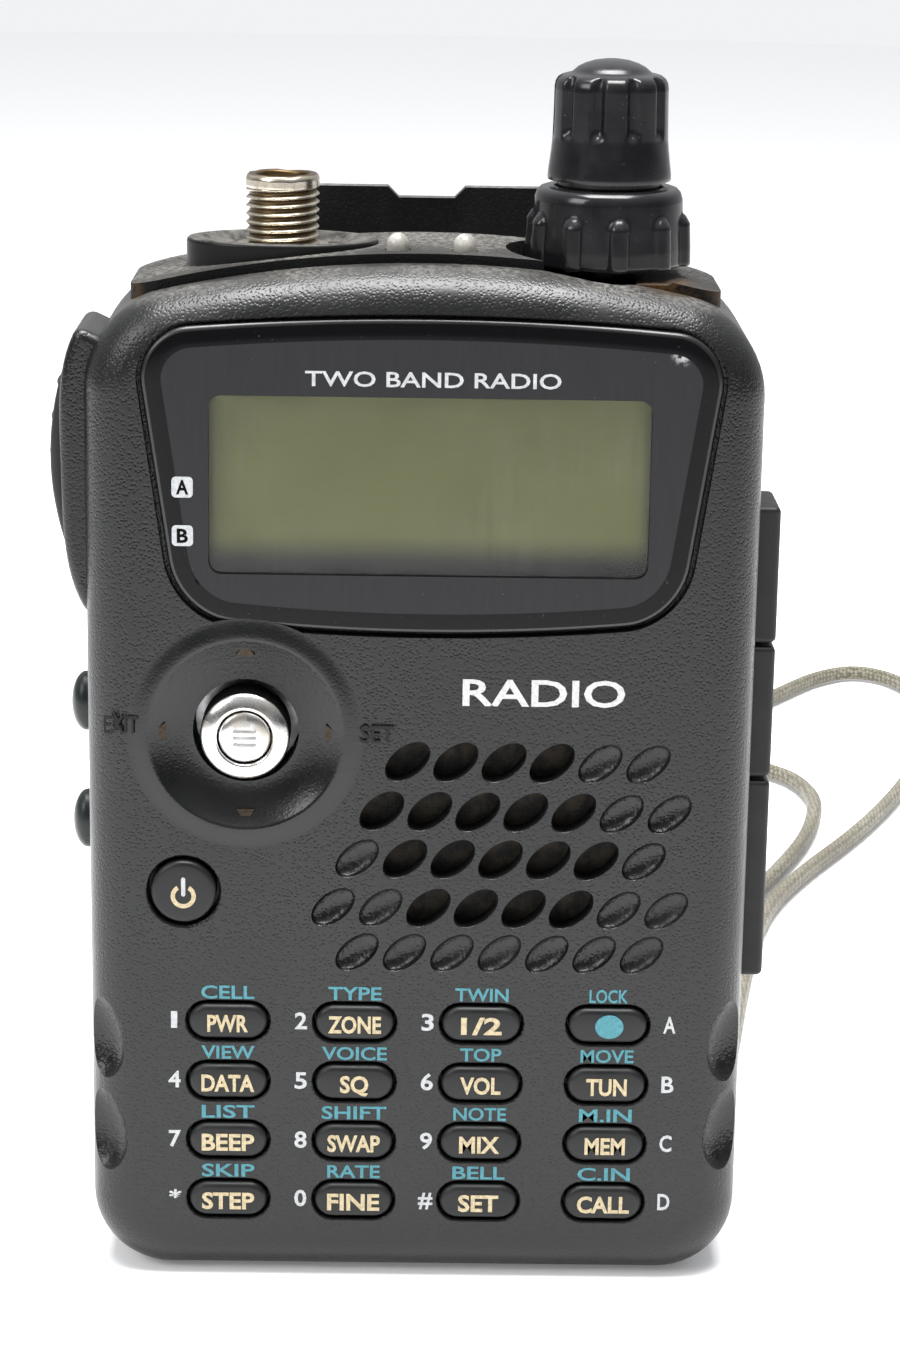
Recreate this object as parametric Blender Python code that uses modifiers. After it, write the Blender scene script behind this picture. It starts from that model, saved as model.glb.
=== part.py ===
"""Handheld two-way radio with a belt clip and a wrist strap, modelled piece by piece.

X is to the right, Y is backwards and Z is up. The origin is on the base, at the middle of the body's width.
Every value is in metres, given as millimetres times MM.
"""

import math

import bmesh
import bpy
from mathutils import Matrix, Vector

MM = 0.001
GAP = 0.3 * MM  # between pieces that would touch
OVERCUT = 2 * MM  # how far a cutter stands past what it cuts

# Body
BODY_HALF = 29 * MM
BODY_FRONT = -15 * MM
SEAM = 1.5 * MM  # back rim of the front case
REAR_BACK = 4.6 * MM
CREST = 91.2 * MM  # case height at the middle
CROWN_RADIUS = 102 * MM
SHOULDER_RADIUS = 6.5 * MM
FOOT_RADIUS = 7 * MM
EDGE_RADIUS = 4 * MM
FRONT_WALL = 2 * MM
REAR_WALL = 1.6 * MM
SIDE_INNER = BODY_HALF - FRONT_WALL
FRONT_INNER = BODY_FRONT + FRONT_WALL

# Raised platform on top
PLATFORM_RISE = 0.8 * MM
PLATFORM_HALF = BODY_HALF - 3.7 * MM
PLATFORM_FRONT = -9.7 * MM
PLATFORM_BACK = 4.2 * MM
PLATFORM_CORNER = 3 * MM
TOP_ROW = -3 * MM  # depth of the connector's and the knobs' axes

# Screw posts
POST_X = BODY_HALF - 4.7 * MM
POST_LOW = 6 * MM
POST_HIGH = 58.5 * MM
POST_RADIUS = 2.4 * MM
PILOT_RADIUS = 0.8 * MM
PILOT_DEPTH = 8 * MM
SCREW_RADIUS = 1.1 * MM

# Boards
BOARD_THICKNESS = 0.8 * MM
BOARD_HALF = BODY_HALF - 4.5 * MM
BOARD_LOW = 3.5 * MM
BOARD_PAST_SHOULDER = 4 * MM  # how far it reaches above the start of the shoulder
CONTROL_BOARD_FRONT = -8 * MM
MAIN_BOARD_FRONT = 1.6 * MM

# Aerial connector and its bezel
AERIAL_X = -12.45 * MM
AERIAL_RADIUS = 3.175 * MM  # quarter inch thread
AERIAL_TOP = CREST + 6.7 * MM
AERIAL_BOTTOM = CREST - 5.2 * MM
AERIAL_BORE = 2.3 * MM
AERIAL_BORE_DEPTH = 4.5 * MM
INSULATOR_RECESS = 1.2 * MM
CONTACT_BORE = 0.65 * MM
BEZEL_HALF_X = 8.3 * MM
BEZEL_HALF_Y = 5.3 * MM
BEZEL_TOP = CREST + 1.2 * MM
BEZEL_DISH = 0.9 * MM
BEZEL_POCKET = 0.5 * MM  # depth of its pocket in the case

# Knobs
KNOB_X = 15.65 * MM
KNOB_DISH_RADIUS = 8.8 * MM
KNOB_DISH_FLOOR = CREST - 1.6 * MM
RING_RADIUS = 7.15 * MM
RING_BOTTOM = CREST - 0.6 * MM
RING_TOP = CREST + 6 * MM
RING_ROUND = 1.1 * MM
SLEEVE_RADIUS = 3.2 * MM
SLEEVE_BOTTOM = CREST - 5.2 * MM
SHAFT_RADIUS = 1.5 * MM
SHAFT_BOTTOM = CREST - 11.2 * MM
SHAFT_IN_KNOB = 6 * MM
KNOB_TOP_RADIUS = 4.9 * MM
KNOB_SKIRT_RADIUS = 5.2 * MM
KNOB_NECK_RADIUS = 4.4 * MM
KNOB_NECK = 0.9 * MM
KNOB_SHOULDER = CREST + 15.1 * MM
KNOB_TOP = CREST + 16.8 * MM
ENCODER_HALF_X = 6 * MM
ENCODER_HALF_Y = 3.9 * MM
ENCODER_BOTTOM = CREST - 13.2 * MM

# Indicator lamps
LAMP_LEFT_X = -2.45 * MM
LAMP_RIGHT_X = 3.27 * MM
LAMP_Y = -7 * MM
LAMP_RADIUS = 1 * MM
LAMP_TOP = CREST + 2.2 * MM
LAMP_BOTTOM = CREST - 4.2 * MM

# Display
LENS_CENTRE = 0.6 * MM
LENS_HALF_TOP = 25.2 * MM
LENS_HALF_FOOT = 21.6 * MM
LENS_LOW = CREST - 29.3 * MM
LENS_HIGH = CREST - 5.3 * MM
LENS_BOW_TOP = 1.4 * MM
LENS_BOW_FOOT = 1.8 * MM
LENS_TOP_CORNER = 4 * MM
LENS_FOOT_CORNER = 5.5 * MM
LENS_FRONT = BODY_FRONT - 0.1 * MM
LENS_THICKNESS = 0.9 * MM
LENS_SEAT = BODY_FRONT + 1.1 * MM
GLASS_LEFT = -19 * MM
GLASS_RIGHT = 20 * MM
GLASS_LOW = CREST - 26.8 * MM
GLASS_HIGH = CREST - 9.6 * MM
GLASS_THICKNESS = 1.4 * MM
HOLDER_MARGIN = 2 * MM
HOLDER_FRONT = BODY_FRONT + 3 * MM
HOLDER_BACK = CONTROL_BOARD_FRONT - GAP

# Joystick
STICK_X = -15.1 * MM
STICK_Z = 51 * MM
STICK_DISH_RADIUS = 8.6 * MM
STICK_DISH_DEPTH = 1.2 * MM
DISH_RINGS = 4
STICK_WELL_RADIUS = 4.9 * MM
STICK_PIVOT = BODY_FRONT + 4.4 * MM
STICK_RING_RADIUS = 3.87 * MM
STICK_RING_FRONT = BODY_FRONT - 1.2 * MM
STICK_RING_BACK = BODY_FRONT + 2.4 * MM
STICK_RING_BORE = 2.4 * MM
STICK_COUNTERBORE = 3.1 * MM
MENU_RADIUS = 2.1 * MM
MENU_FRONT = BODY_FRONT - 1.4 * MM
MENU_FLANGE_RADIUS = 2.8 * MM
MENU_FLANGE = 0.5 * MM
MENU_BACK = BODY_FRONT + 2.1 * MM
MENU_TRAVEL = 0.4 * MM
GIMBAL_RADIUS = 2.6 * MM
GIMBAL_FRONT = BODY_FRONT + 2.9 * MM
STICK_BASE_RADIUS = 4.6 * MM
STICK_BASE_FRONT = BODY_FRONT + 5 * MM
STICK_BASE_BACK = -6.5 * MM

# Power button and keys
POWER_X = -20.5 * MM
POWER_Z = 36.65 * MM
POWER_RADIUS = 2.85 * MM
KEY_FRONT = BODY_FRONT - 0.4 * MM
KEY_TRAVEL = 0.5 * MM
KEY_FLANGE = 0.7 * MM
KEY_FLANGE_MARGIN = 0.8 * MM  # past the hole's edge
KEY_WIDTH = 6.9 * MM
KEY_HEIGHT = 3.2 * MM
KEY_COLUMNS = 4
KEY_ROWS = 4
KEY_FIRST_X = -16.65 * MM
KEY_PITCH_X = 11.2 * MM
KEY_TOP_ROW = 24.6 * MM
KEY_PITCH_Z = 5.65 * MM
MAT_HALF = POST_X - POST_RADIUS - 0.4 * MM
MAT_LOW = 4 * MM
MAT_HIGH = 28.2 * MM
MAT_THICKNESS = 1 * MM

# Speaker
SPEAKER_X = 6.3 * MM
SPEAKER_Z = 42 * MM
SPEAKER_RADIUS = 12.6 * MM
SPEAKER_BACK = CONTROL_BOARD_FRONT - GAP
SPEAKER_SHEET = 0.8 * MM
SPEAKER_RIM = 1.2 * MM
MAGNET_RADIUS = 7 * MM
CLOTH_THICKNESS = 0.3 * MM
CONE_THICKNESS = 0.4 * MM
CONE_DEPTH = 1.3 * MM
SLOT_LONG = 2.2 * MM
SLOT_SHORT = 1.29 * MM
SLOT_TILT = 40  # degrees
SLOT_PITCH = 4.17 * MM
# Height of each row, its first slot that goes through, and how many do.
SLOT_ROWS = (
    (48.7 * MM, -1.06 * MM, 4),
    (44.2 * MM, -3.25 * MM, 5),
    (39.85 * MM, -1.19 * MM, 5),
    (35.35 * MM, 0.91 * MM, 4),
)

# Side controls, on the left
SIDE_Y = -5.5 * MM
BULGE_LOW = CREST - 30.9 * MM
BULGE_HIGH = CREST - 5.6 * MM
BULGE_RISE = 1.9 * MM
BULGE_TOP_STEP = 0.6 * MM  # how far its upper end stands past the side
BULGE_HALF_Y = 5.5 * MM
TALK_Z = CREST - 17.2 * MM
TALK_HALF_Z = 10 * MM
TALK_HALF_Y = 4 * MM
TALK_END = -BODY_HALF - 1.2 * MM
TALK_CROWN = -BODY_HALF - 3.2 * MM
TALK_TRAVEL = 1 * MM
SIDE_BUTTONS = {"side_button_upper": 51.2 * MM, "side_button_lower": 40.25 * MM}
SIDE_HALF_Z = 2.7 * MM
SIDE_HALF_Y = 2.1 * MM
SIDE_END = -BODY_HALF - 0.6 * MM
SIDE_CROWN = -BODY_HALF - 2 * MM
SIDE_FLANGE = 0.7 * MM
SIDE_FLANGE_MARGIN = 0.9 * MM

# Jacks and their cover, on the right
JACK_Y = -4.3 * MM
DC_JACK_Z = 65 * MM
AUDIO_JACK_Z = (40.3 * MM, 31 * MM)
JACK_HOLE = 2.6 * MM
JACK_LENGTH = 9.5 * MM
JACK_HALF = 2.6 * MM
DC_BORE = 2 * MM
AUDIO_BORES = (1.8 * MM, 1.3 * MM)
BORE_DEPTH = 8 * MM
COVER_HALF_Y = 3.7 * MM
COVER_THICKNESS = 1.9 * MM
COVER_LOW = 26.8 * MM
COVER_LOWER_FOLD = 45.4 * MM
COVER_UPPER_FOLD = 57.7 * MM
COVER_HIGH = 70.1 * MM
COVER_ROUND = 0.6 * MM

# Wrist strap and its eyelet
EYELET_Z = 37.5 * MM
EYELET_HALF_Z = 3.6 * MM
EYELET_REACH = 2.8 * MM
EYELET_BAR = 0.7 * MM
EYELET_FRONT = 2.2 * MM
EYELET_BACK = 4.2 * MM
STRAP_RADIUS = 1 * MM
STRAP_SPACING = 5.6 * MM  # between the tube's points
STRAP_ROUTE = (
    (30.5, 4.6, 38.9), (30.4, 9.5, 38.9), (30.1, 14.5, 36.8), (29.8, 17.0, 31.5),
    (29.8, 17.6, 24.0), (29.9, 18.0, 15.0), (30.2, 19.8, 8.0), (31.0, 24.5, 2.8),
    (32.1, 31.5, 1.3), (33.6, 40.0, 1.3), (35.8, 54.0, 1.3), (38.8, 71.0, 1.3),
    (42.3, 84.5, 1.3), (47.4, 96.5, 1.3), (55.3, 111.7, 1.3), (61.2, 124.5, 1.3),
    (66.8, 139.0, 1.3), (71.6, 154.0, 1.3), (74.2, 168.0, 1.3), (74.0, 180.0, 1.3),
    (70.8, 189.6, 1.3), (65.6, 192.9, 1.3), (59.6, 189.0, 1.3), (52.9, 179.6, 1.3),
    (46.4, 169.6, 1.3), (42.0, 159.6, 1.3), (41.6, 150.6, 1.3), (45.6, 143.6, 1.3),
    (50.4, 137.2, 1.3), (52.3, 128.7, 1.3), (51.4, 119.6, 1.3), (48.9, 109.6, 1.3),
    (45.0, 99.0, 1.3), (40.0, 86.6, 1.3), (36.2, 71.6, 1.3), (33.2, 54.6, 1.3),
    (31.1, 40.6, 1.3), (29.8, 30.0, 1.3), (29.5, 22.0, 2.6), (29.6, 17.0, 7.0),
    (29.7, 15.4, 13.5), (29.7, 15.0, 20.5), (29.8, 14.4, 27.6), (30.0, 12.2, 33.0),
    (30.3, 8.8, 35.7), (30.5, 4.6, 36.1),
)

# Battery pack
PACK_HALF = BODY_HALF - 1 * MM
PACK_LOW = 0 * MM  # level with the case, so that the radio stands on both
PACK_HIGH = CREST - 7 * MM
PACK_BOW = 3.4 * MM
PACK_CORNER = 6 * MM
PACK_BACK = 15 * MM
PACK_WALL = 1.4 * MM
LID_THICKNESS = 0.8 * MM
CELL_HALF = PACK_HALF - 4 * MM
CELL_LOW = 6 * MM
CELL_HIGH = CREST - 11.2 * MM
CELL_MARGIN = 0.5 * MM
LATCH_HALF = 6.5 * MM
LATCH_LOW = 0.4 * MM
LATCH_DEPTH = 4.5 * MM
LATCH_THICKNESS = 1 * MM
LATCH_NOSE = 0.9 * MM  # how far it reaches into the rear case
LATCH_TRAVEL = 1.2 * MM

# Belt clip
CLIP_Y = PACK_BACK + 3.5 * MM
CLIP_PIN_Z = CREST - 12.2 * MM
CLIP_THICKNESS = 1.6 * MM
CLIP_TOP = CREST + 3.2 * MM
CLIP_FOOT = 28 * MM
CLIP_TAB_HALF = 13.5 * MM
CLIP_WAIST_HALF = 8.9 * MM
CLIP_FOOT_HALF = 10.5 * MM
CLIP_HOOK_Z = 31.5 * MM
CLIP_HOOK = 1.8 * MM
CLIP_BEND_Z = 38 * MM
CLIP_NOTCH_HALF = 2.6 * MM
CLIP_NOTCH_DEPTH = 1 * MM
CLIP_PIN_RADIUS = 0.8 * MM
KNUCKLE_RADIUS = 1.9 * MM
SPRING_WINDOW_HALF = 4 * MM
SPRING_COIL_RADIUS = 1.45 * MM
SPRING_WIRE_RADIUS = 0.28 * MM
SPRING_TURNS = 4
SPRING_PITCH = 1.3 * MM
BRACKET_HALF = 11 * MM
BRACKET_LOW = CLIP_PIN_Z - 13 * MM
BRACKET_HIGH = CLIP_PIN_Z + 4 * MM
BRACKET_THICKNESS = 0.8 * MM
EAR_THICKNESS = 1.4 * MM
EAR_HALF_Z = 3 * MM

PARTS = "handheld_radio"
CUTTERS = "cutters"
PLANES = {
    "XZ": Matrix.Rotation(math.radians(90), 4, "X"),
    "XY": Matrix.Identity(4),
    "YZ": Matrix(((0, 0, 1, 0), (1, 0, 0, 0), (0, 1, 0, 0), (0, 0, 0, 1))),
}

# Base colour, roughness and metallic value of each finish.
FINISHES = {
    "case_plastic": ((0.045, 0.047, 0.05, 1), 0.55, 0),
    "gloss_plastic": ((0.008, 0.008, 0.009, 1), 0.15, 0),
    "lens": ((0.02, 0.021, 0.023, 1), 0.08, 0),
    "lcd": ((0.2, 0.21, 0.12, 1), 0.3, 0),
    "white_plastic": ((0.75, 0.75, 0.72, 1), 0.5, 0),
    "rubber": ((0.03, 0.03, 0.032, 1), 0.75, 0),
    "key_rubber": ((0.028, 0.03, 0.033, 1), 0.6, 0),
    "chrome": ((0.8, 0.8, 0.82, 1), 0.12, 1),
    "gold_plate": ((0.62, 0.5, 0.33, 1), 0.3, 1),
    "ptfe": ((0.85, 0.84, 0.8, 1), 0.5, 0),
    "lamp": ((0.4, 0.39, 0.36, 1), 0.25, 0),
    "board": ((0.02, 0.16, 0.07, 1), 0.5, 0),
    "steel": ((0.55, 0.55, 0.56, 1), 0.35, 1),
    "cloth": ((0.012, 0.012, 0.012, 1), 0.95, 0),
    "paper_cone": ((0.03, 0.03, 0.03, 1), 0.9, 0),
    "cell_wrap": ((0.1, 0.2, 0.45, 1), 0.4, 0),
    "strap_cord": ((0.52, 0.5, 0.38, 1), 0.85, 0),
}


# Outlines

def arc(centre, radius, start, stop, steps):
    """Points round part of a circle, from one angle in degrees to another."""
    angles = [math.radians(start + (stop - start) * i / steps) for i in range(steps + 1)]
    return [(centre[0] + radius * math.cos(a), centre[1] + radius * math.sin(a)) for a in angles]


def ellipse(centre, half_long, half_short, tilt=0, steps=32):
    turn = Matrix.Rotation(math.radians(tilt), 2)
    points = []
    for i in range(steps):
        angle = math.tau * i / steps
        x, z = turn @ Vector((half_long * math.cos(angle), half_short * math.sin(angle)))
        points.append((centre[0] + x, centre[1] + z))
    return points


def stadium(centre, width, height, steps=4):
    radius = height / 2
    reach = width / 2 - radius
    right = arc((centre[0] + reach, centre[1]), radius, -90, 90, steps)
    left = arc((centre[0] - reach, centre[1]), radius, 90, 270, steps)
    return right + left


def filleted(corners, radii, steps=4):
    """A polygon, given anticlockwise, with each corner rounded to its radius."""
    points = []
    for i, (corner, radius) in enumerate(zip(corners, radii)):
        corner = Vector(corner)
        before = (Vector(corners[i - 1]) - corner).normalized()
        after = (Vector(corners[(i + 1) % len(corners)]) - corner).normalized()
        half = before.angle(after) / 2
        centre = corner + (before + after).normalized() * radius / math.sin(half)
        start = corner + before * radius / math.tan(half) - centre
        for k in range(steps + 1):
            turn = Matrix.Rotation((math.pi - 2 * half) * k / steps, 2)
            points.append(tuple(centre + turn @ start))
    return points


def rounded_box(low_x, high_x, low_z, high_z, radius, steps=4):
    corners = ((low_x, low_z), (high_x, low_z), (high_x, high_z), (low_x, high_z))
    return filleted(corners, (radius,) * 4, steps)


def bowed(outline, low, high, half, centre, bow_top, bow_foot, pieces=8):
    """The outline with its upper and lower edges bowed outwards, parabolas at their middles."""
    dense = []
    for (x0, z0), (x1, z1) in zip(outline, outline[1:] + outline[:1]):
        bow = bow_top if 2 * z0 > low + high else bow_foot
        splits = pieces if bow and abs(x1 - x0) > half / 2 else 1
        for k in range(splits):
            dense.append((x0 + (x1 - x0) * k / splits, z0 + (z1 - z0) * k / splits))
    points = []
    for x, z in dense:
        share = 1 - ((x - centre) / half) ** 2
        height = (z - low) / (high - low)
        points.append((x, z + share * (height * bow_top - (1 - height) * bow_foot)))
    return points


def crown_drop(x):
    """How far the top of the body falls between its middle and a place beside it."""
    return CROWN_RADIUS - math.sqrt(CROWN_RADIUS ** 2 - x ** 2)


def crown_line(crest, half, steps=16):
    return [(x, crest - crown_drop(x)) for x in (half - 2 * half * i / steps for i in range(steps + 1))]


def under_crown(crest, floor, half=BODY_HALF + OVERCUT):
    """The area between a level and the body's crown at a crest height."""
    return [(-half, floor), (half, floor)] + crown_line(crest, half)


def shoulder_start():
    """The height where the body's sides begin to round over into its top."""
    return CREST - crown_drop(BODY_HALF) - SHOULDER_RADIUS


def body_outline():
    high = CREST - crown_drop(BODY_HALF)
    corners = ((-BODY_HALF, 0), (BODY_HALF, 0), (BODY_HALF, high), (-BODY_HALF, high))
    radii = (FOOT_RADIUS, FOOT_RADIUS, SHOULDER_RADIUS, SHOULDER_RADIUS)
    return bowed(filleted(corners, radii), 0, high, BODY_HALF, 0, CREST - high, 0)


def lens_outline(grow=0):
    low, high = LENS_LOW - grow, LENS_HIGH + grow
    foot, top = LENS_HALF_FOOT + grow, LENS_HALF_TOP + grow
    corners = (
        (LENS_CENTRE - foot, low),
        (LENS_CENTRE + foot, low),
        (LENS_CENTRE + top, high),
        (LENS_CENTRE - top, high),
    )
    radii = (LENS_FOOT_CORNER, LENS_FOOT_CORNER, LENS_TOP_CORNER, LENS_TOP_CORNER)
    outline = filleted(corners, [radius + grow for radius in radii])
    return bowed(outline, low, high, top, LENS_CENTRE, LENS_BOW_TOP, LENS_BOW_FOOT)


def pack_outline():
    outline = rounded_box(-PACK_HALF, PACK_HALF, PACK_LOW, PACK_HIGH, PACK_CORNER)
    return bowed(outline, PACK_LOW, PACK_HIGH, PACK_HALF, 0, PACK_BOW, 0)


# Objects

def collection(name, parent=None):
    made = bpy.data.collections.new(name)
    (parent or bpy.context.scene.collection).children.link(made)
    return made


def finish(name):
    """The material of a finish, made the first time it is asked for."""
    if name in bpy.data.materials:
        return bpy.data.materials[name]
    colour, roughness, metallic = FINISHES[name]
    made = bpy.data.materials.new(name)
    made.use_nodes = True
    shader = made.node_tree.nodes["Principled BSDF"]
    shader.inputs["Base Color"].default_value = colour
    shader.inputs["Roughness"].default_value = roughness
    shader.inputs["Metallic"].default_value = metallic
    return made


def part(name, mesh, look):
    """A sub-part's object, which has a material of its own."""
    made = bpy.data.objects.new(name, mesh)
    bpy.data.collections[PARTS].objects.link(made)
    own = finish(look).copy()
    own.name = name
    made.data.materials.clear()
    made.data.materials.append(own)
    return made


def cutter(name, mesh, group=None):
    made = bpy.data.objects.new(name, mesh)
    (group or bpy.data.collections[CUTTERS]).objects.link(made)
    made.hide_render = True
    made.display_type = "WIRE"
    return made


def boolean(target, other, operation="DIFFERENCE"):
    """Cuts a target with an object or with every object of a collection, or joins them to it."""
    made = target.modifiers.new(f"{operation.lower()} {other.name}", "BOOLEAN")
    made.operation = operation
    made.solver = "EXACT"
    if isinstance(other, bpy.types.Collection):
        made.operand_type = "COLLECTION"
        made.collection = other
    else:
        made.object = other
    return made


def bevel(target, width, segments=2, angle=50):
    made = target.modifiers.new("rounded edges", "BEVEL")
    made.width = width
    made.segments = segments
    made.limit_method = "ANGLE"
    made.angle_limit = math.radians(angle)
    return made


def box_mesh(low, high):
    mesh = bpy.data.meshes.new("box")
    work = bmesh.new()
    size = Vector(high) - Vector(low)
    centre = (Vector(high) + Vector(low)) / 2
    bmesh.ops.create_cube(work, size=1, matrix=Matrix.Translation(centre) @ Matrix.Diagonal((*size, 1)))
    work.to_mesh(mesh)
    work.free()
    return mesh


def rod_mesh(start, end, radius, segments=24):
    """A cylinder between two points."""
    start, end = Vector(start), Vector(end)
    mesh = bpy.data.meshes.new("rod")
    work = bmesh.new()
    turn = (end - start).to_track_quat("Z", "Y").to_matrix().to_4x4()
    place = Matrix.Translation((start + end) / 2) @ turn
    bmesh.ops.create_cone(
        work, cap_ends=True, segments=segments, radius1=radius, radius2=radius,
        depth=(end - start).length, matrix=place,
    )
    work.to_mesh(mesh)
    work.free()
    return mesh


def slab_mesh(outline, near, far, plane="XZ", holes=()):
    """A flat piece: outlines in one plane, between two distances along the third axis."""
    curve = bpy.data.curves.new("slab", "CURVE")
    curve.dimensions = "2D"
    curve.fill_mode = "BOTH"
    curve.extrude = (far - near) / 2
    for loop in (outline, *holes):
        spline = curve.splines.new("POLY")
        spline.points.add(len(loop) - 1)
        spline.use_cyclic_u = True
        for point, (across, up) in zip(spline.points, loop):
            point.co = (across, up, 0, 1)
    mesh = mesh_of_curve(curve)
    work = bmesh.new()
    work.from_mesh(mesh)
    if not holes:
        for side in (-1, 1):
            cap = [face for face in work.faces if face.normal.z * side > 0.99]
            bmesh.ops.dissolve_faces(work, faces=cap)
    middle = (near + far) / 2
    shift = {"XZ": (0, middle, 0), "XY": (0, 0, middle), "YZ": (middle, 0, 0)}[plane]
    bmesh.ops.transform(work, matrix=Matrix.Translation(shift) @ PLANES[plane], verts=work.verts)
    bmesh.ops.recalc_face_normals(work, faces=work.faces)
    work.to_mesh(mesh)
    work.free()
    return mesh


def mesh_of_curve(curve):
    """A curve's own shape as a closed mesh; the curve is removed."""
    holder = bpy.data.objects.new("curve", curve)
    mesh = bpy.data.meshes.new_from_object(holder)
    bpy.data.objects.remove(holder)
    bpy.data.curves.remove(curve)
    work = bmesh.new()
    work.from_mesh(mesh)
    bmesh.ops.remove_doubles(work, verts=work.verts, dist=0.001 * MM)
    work.to_mesh(mesh)
    work.free()
    return mesh


def turned_mesh(profile, steps=32, closed=False, front=False):
    """A turned shape, from pairs of radius and height that run down its outer side.

    Front pieces turn about Y, and their heights count forwards from the origin.
    """
    mesh = bpy.data.meshes.new("turned")
    count = len(profile)
    edges = [(i, i + 1) for i in range(count - 1)] + ([(count - 1, 0)] if closed else [])
    mesh.from_pydata([(radius, 0, height) for radius, height in profile], edges, [])
    holder = bpy.data.objects.new("turned", mesh)
    bpy.context.scene.collection.objects.link(holder)
    screw = holder.modifiers.new("turned", "SCREW")
    screw.steps = steps
    screw.render_steps = steps
    screw.use_merge_vertices = True
    screw.merge_threshold = 0.001 * MM
    graph = bpy.context.evaluated_depsgraph_get()
    solid = bpy.data.meshes.new_from_object(holder.evaluated_get(graph))
    bpy.data.objects.remove(holder)
    work = bmesh.new()
    work.from_mesh(solid)
    bmesh.ops.remove_doubles(work, verts=work.verts, dist=0.001 * MM)
    bmesh.ops.recalc_face_normals(work, faces=work.faces)
    work.to_mesh(solid)
    work.free()
    if front:
        solid.transform(PLANES["XZ"])
    return solid


def tray_mesh(outline, closed_end, open_end):
    """A slab without its face at the open end. The edge round its closed end is marked for rounding."""
    near, far = sorted((closed_end, open_end))
    mesh = slab_mesh(outline, near, far)
    work = bmesh.new()
    work.from_mesh(mesh)
    lid = [face for face in work.faces if all(abs(v.co.y - open_end) < GAP / 2 for v in face.verts)]
    bmesh.ops.delete(work, geom=lid, context="FACES_ONLY")
    weights = work.edges.layers.float.new("bevel_weight_edge")
    for edge in work.edges:
        at_end = all(abs(v.co.y - closed_end) < GAP / 2 for v in edge.verts)
        edge[weights] = 1 if at_end else 0
    work.to_mesh(mesh)
    work.free()
    return mesh


def round_marked_edge(target, edge_radius, segments=3):
    rounding = target.modifiers.new("rounded edge", "BEVEL")
    rounding.width = edge_radius
    rounding.segments = segments
    rounding.limit_method = "WEIGHT"


def shell(target, wall):
    """Gives a tray a wall, inwards."""
    thickness = target.modifiers.new("wall", "SOLIDIFY")
    thickness.thickness = wall
    thickness.offset = -1
    thickness.use_even_offset = True


def joined_mesh(first, second):
    """Two overlapping solids as one."""
    a = bpy.data.objects.new("first", first)
    b = bpy.data.objects.new("second", second)
    for holder in (a, b):
        bpy.context.scene.collection.objects.link(holder)
    boolean(a, b, "UNION")
    graph = bpy.context.evaluated_depsgraph_get()
    mesh = bpy.data.meshes.new_from_object(a.evaluated_get(graph))
    for holder in (a, b):
        bpy.data.objects.remove(holder)
    return mesh


# Cutters that several pieces share

def key_place(row, column):
    return KEY_FIRST_X + KEY_PITCH_X * column, KEY_TOP_ROW - KEY_PITCH_Z * row


def front_hole_group():
    """Every hole that goes straight through the front wall behind a key, a button or a speaker slot."""
    group = collection("front_holes", bpy.data.collections[CUTTERS])
    reach = (BODY_FRONT - OVERCUT, FRONT_INNER + OVERCUT)
    for row in range(KEY_ROWS):
        for column in range(KEY_COLUMNS):
            hole = stadium(key_place(row, column), KEY_WIDTH + 2 * GAP, KEY_HEIGHT + 2 * GAP)
            cutter(f"key_hole_{row}_{column}", slab_mesh(hole, *reach), group)
    for row, (height, first, count) in enumerate(SLOT_ROWS):
        for i in range(count):
            place = (first + SLOT_PITCH * i, height)
            slot = ellipse(place, SLOT_LONG, SLOT_SHORT, SLOT_TILT, 8)
            cutter(f"slot_{row}_{i}", slab_mesh(slot, *reach), group)
    power = ellipse((POWER_X, POWER_Z), POWER_RADIUS + GAP, POWER_RADIUS + GAP, 0, 16)
    cutter("power_hole", slab_mesh(power, *reach), group)
    well = ellipse((STICK_X, STICK_Z), STICK_WELL_RADIUS, STICK_WELL_RADIUS, 0, 20)
    cutter("joystick_well", slab_mesh(well, *reach), group)
    return group


def side_hole_group():
    """The openings in the side walls."""
    group = collection("side_holes", bpy.data.collections[CUTTERS])
    left = (-BODY_HALF - BULGE_RISE - OVERCUT, -SIDE_INNER + OVERCUT)
    places = [(TALK_Z, TALK_HALF_Y, TALK_HALF_Z)]
    places += [(z, SIDE_HALF_Y, SIDE_HALF_Z) for z in SIDE_BUTTONS.values()]
    for z, half_y, half_z in places:
        half_y, half_z = half_y + GAP, half_z + GAP
        low = (left[0], SIDE_Y - half_y, z - half_z)
        high = (left[1], SIDE_Y + half_y, z + half_z)
        cutter("button_hole", box_mesh(low, high), group)
    for z in (DC_JACK_Z, *AUDIO_JACK_Z):
        start = (SIDE_INNER - OVERCUT / 4, JACK_Y, z)
        end = (BODY_HALF + OVERCUT / 4, JACK_Y, z)
        cutter("jack_hole", rod_mesh(start, end, JACK_HOLE, 16), group)
    return group


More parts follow.
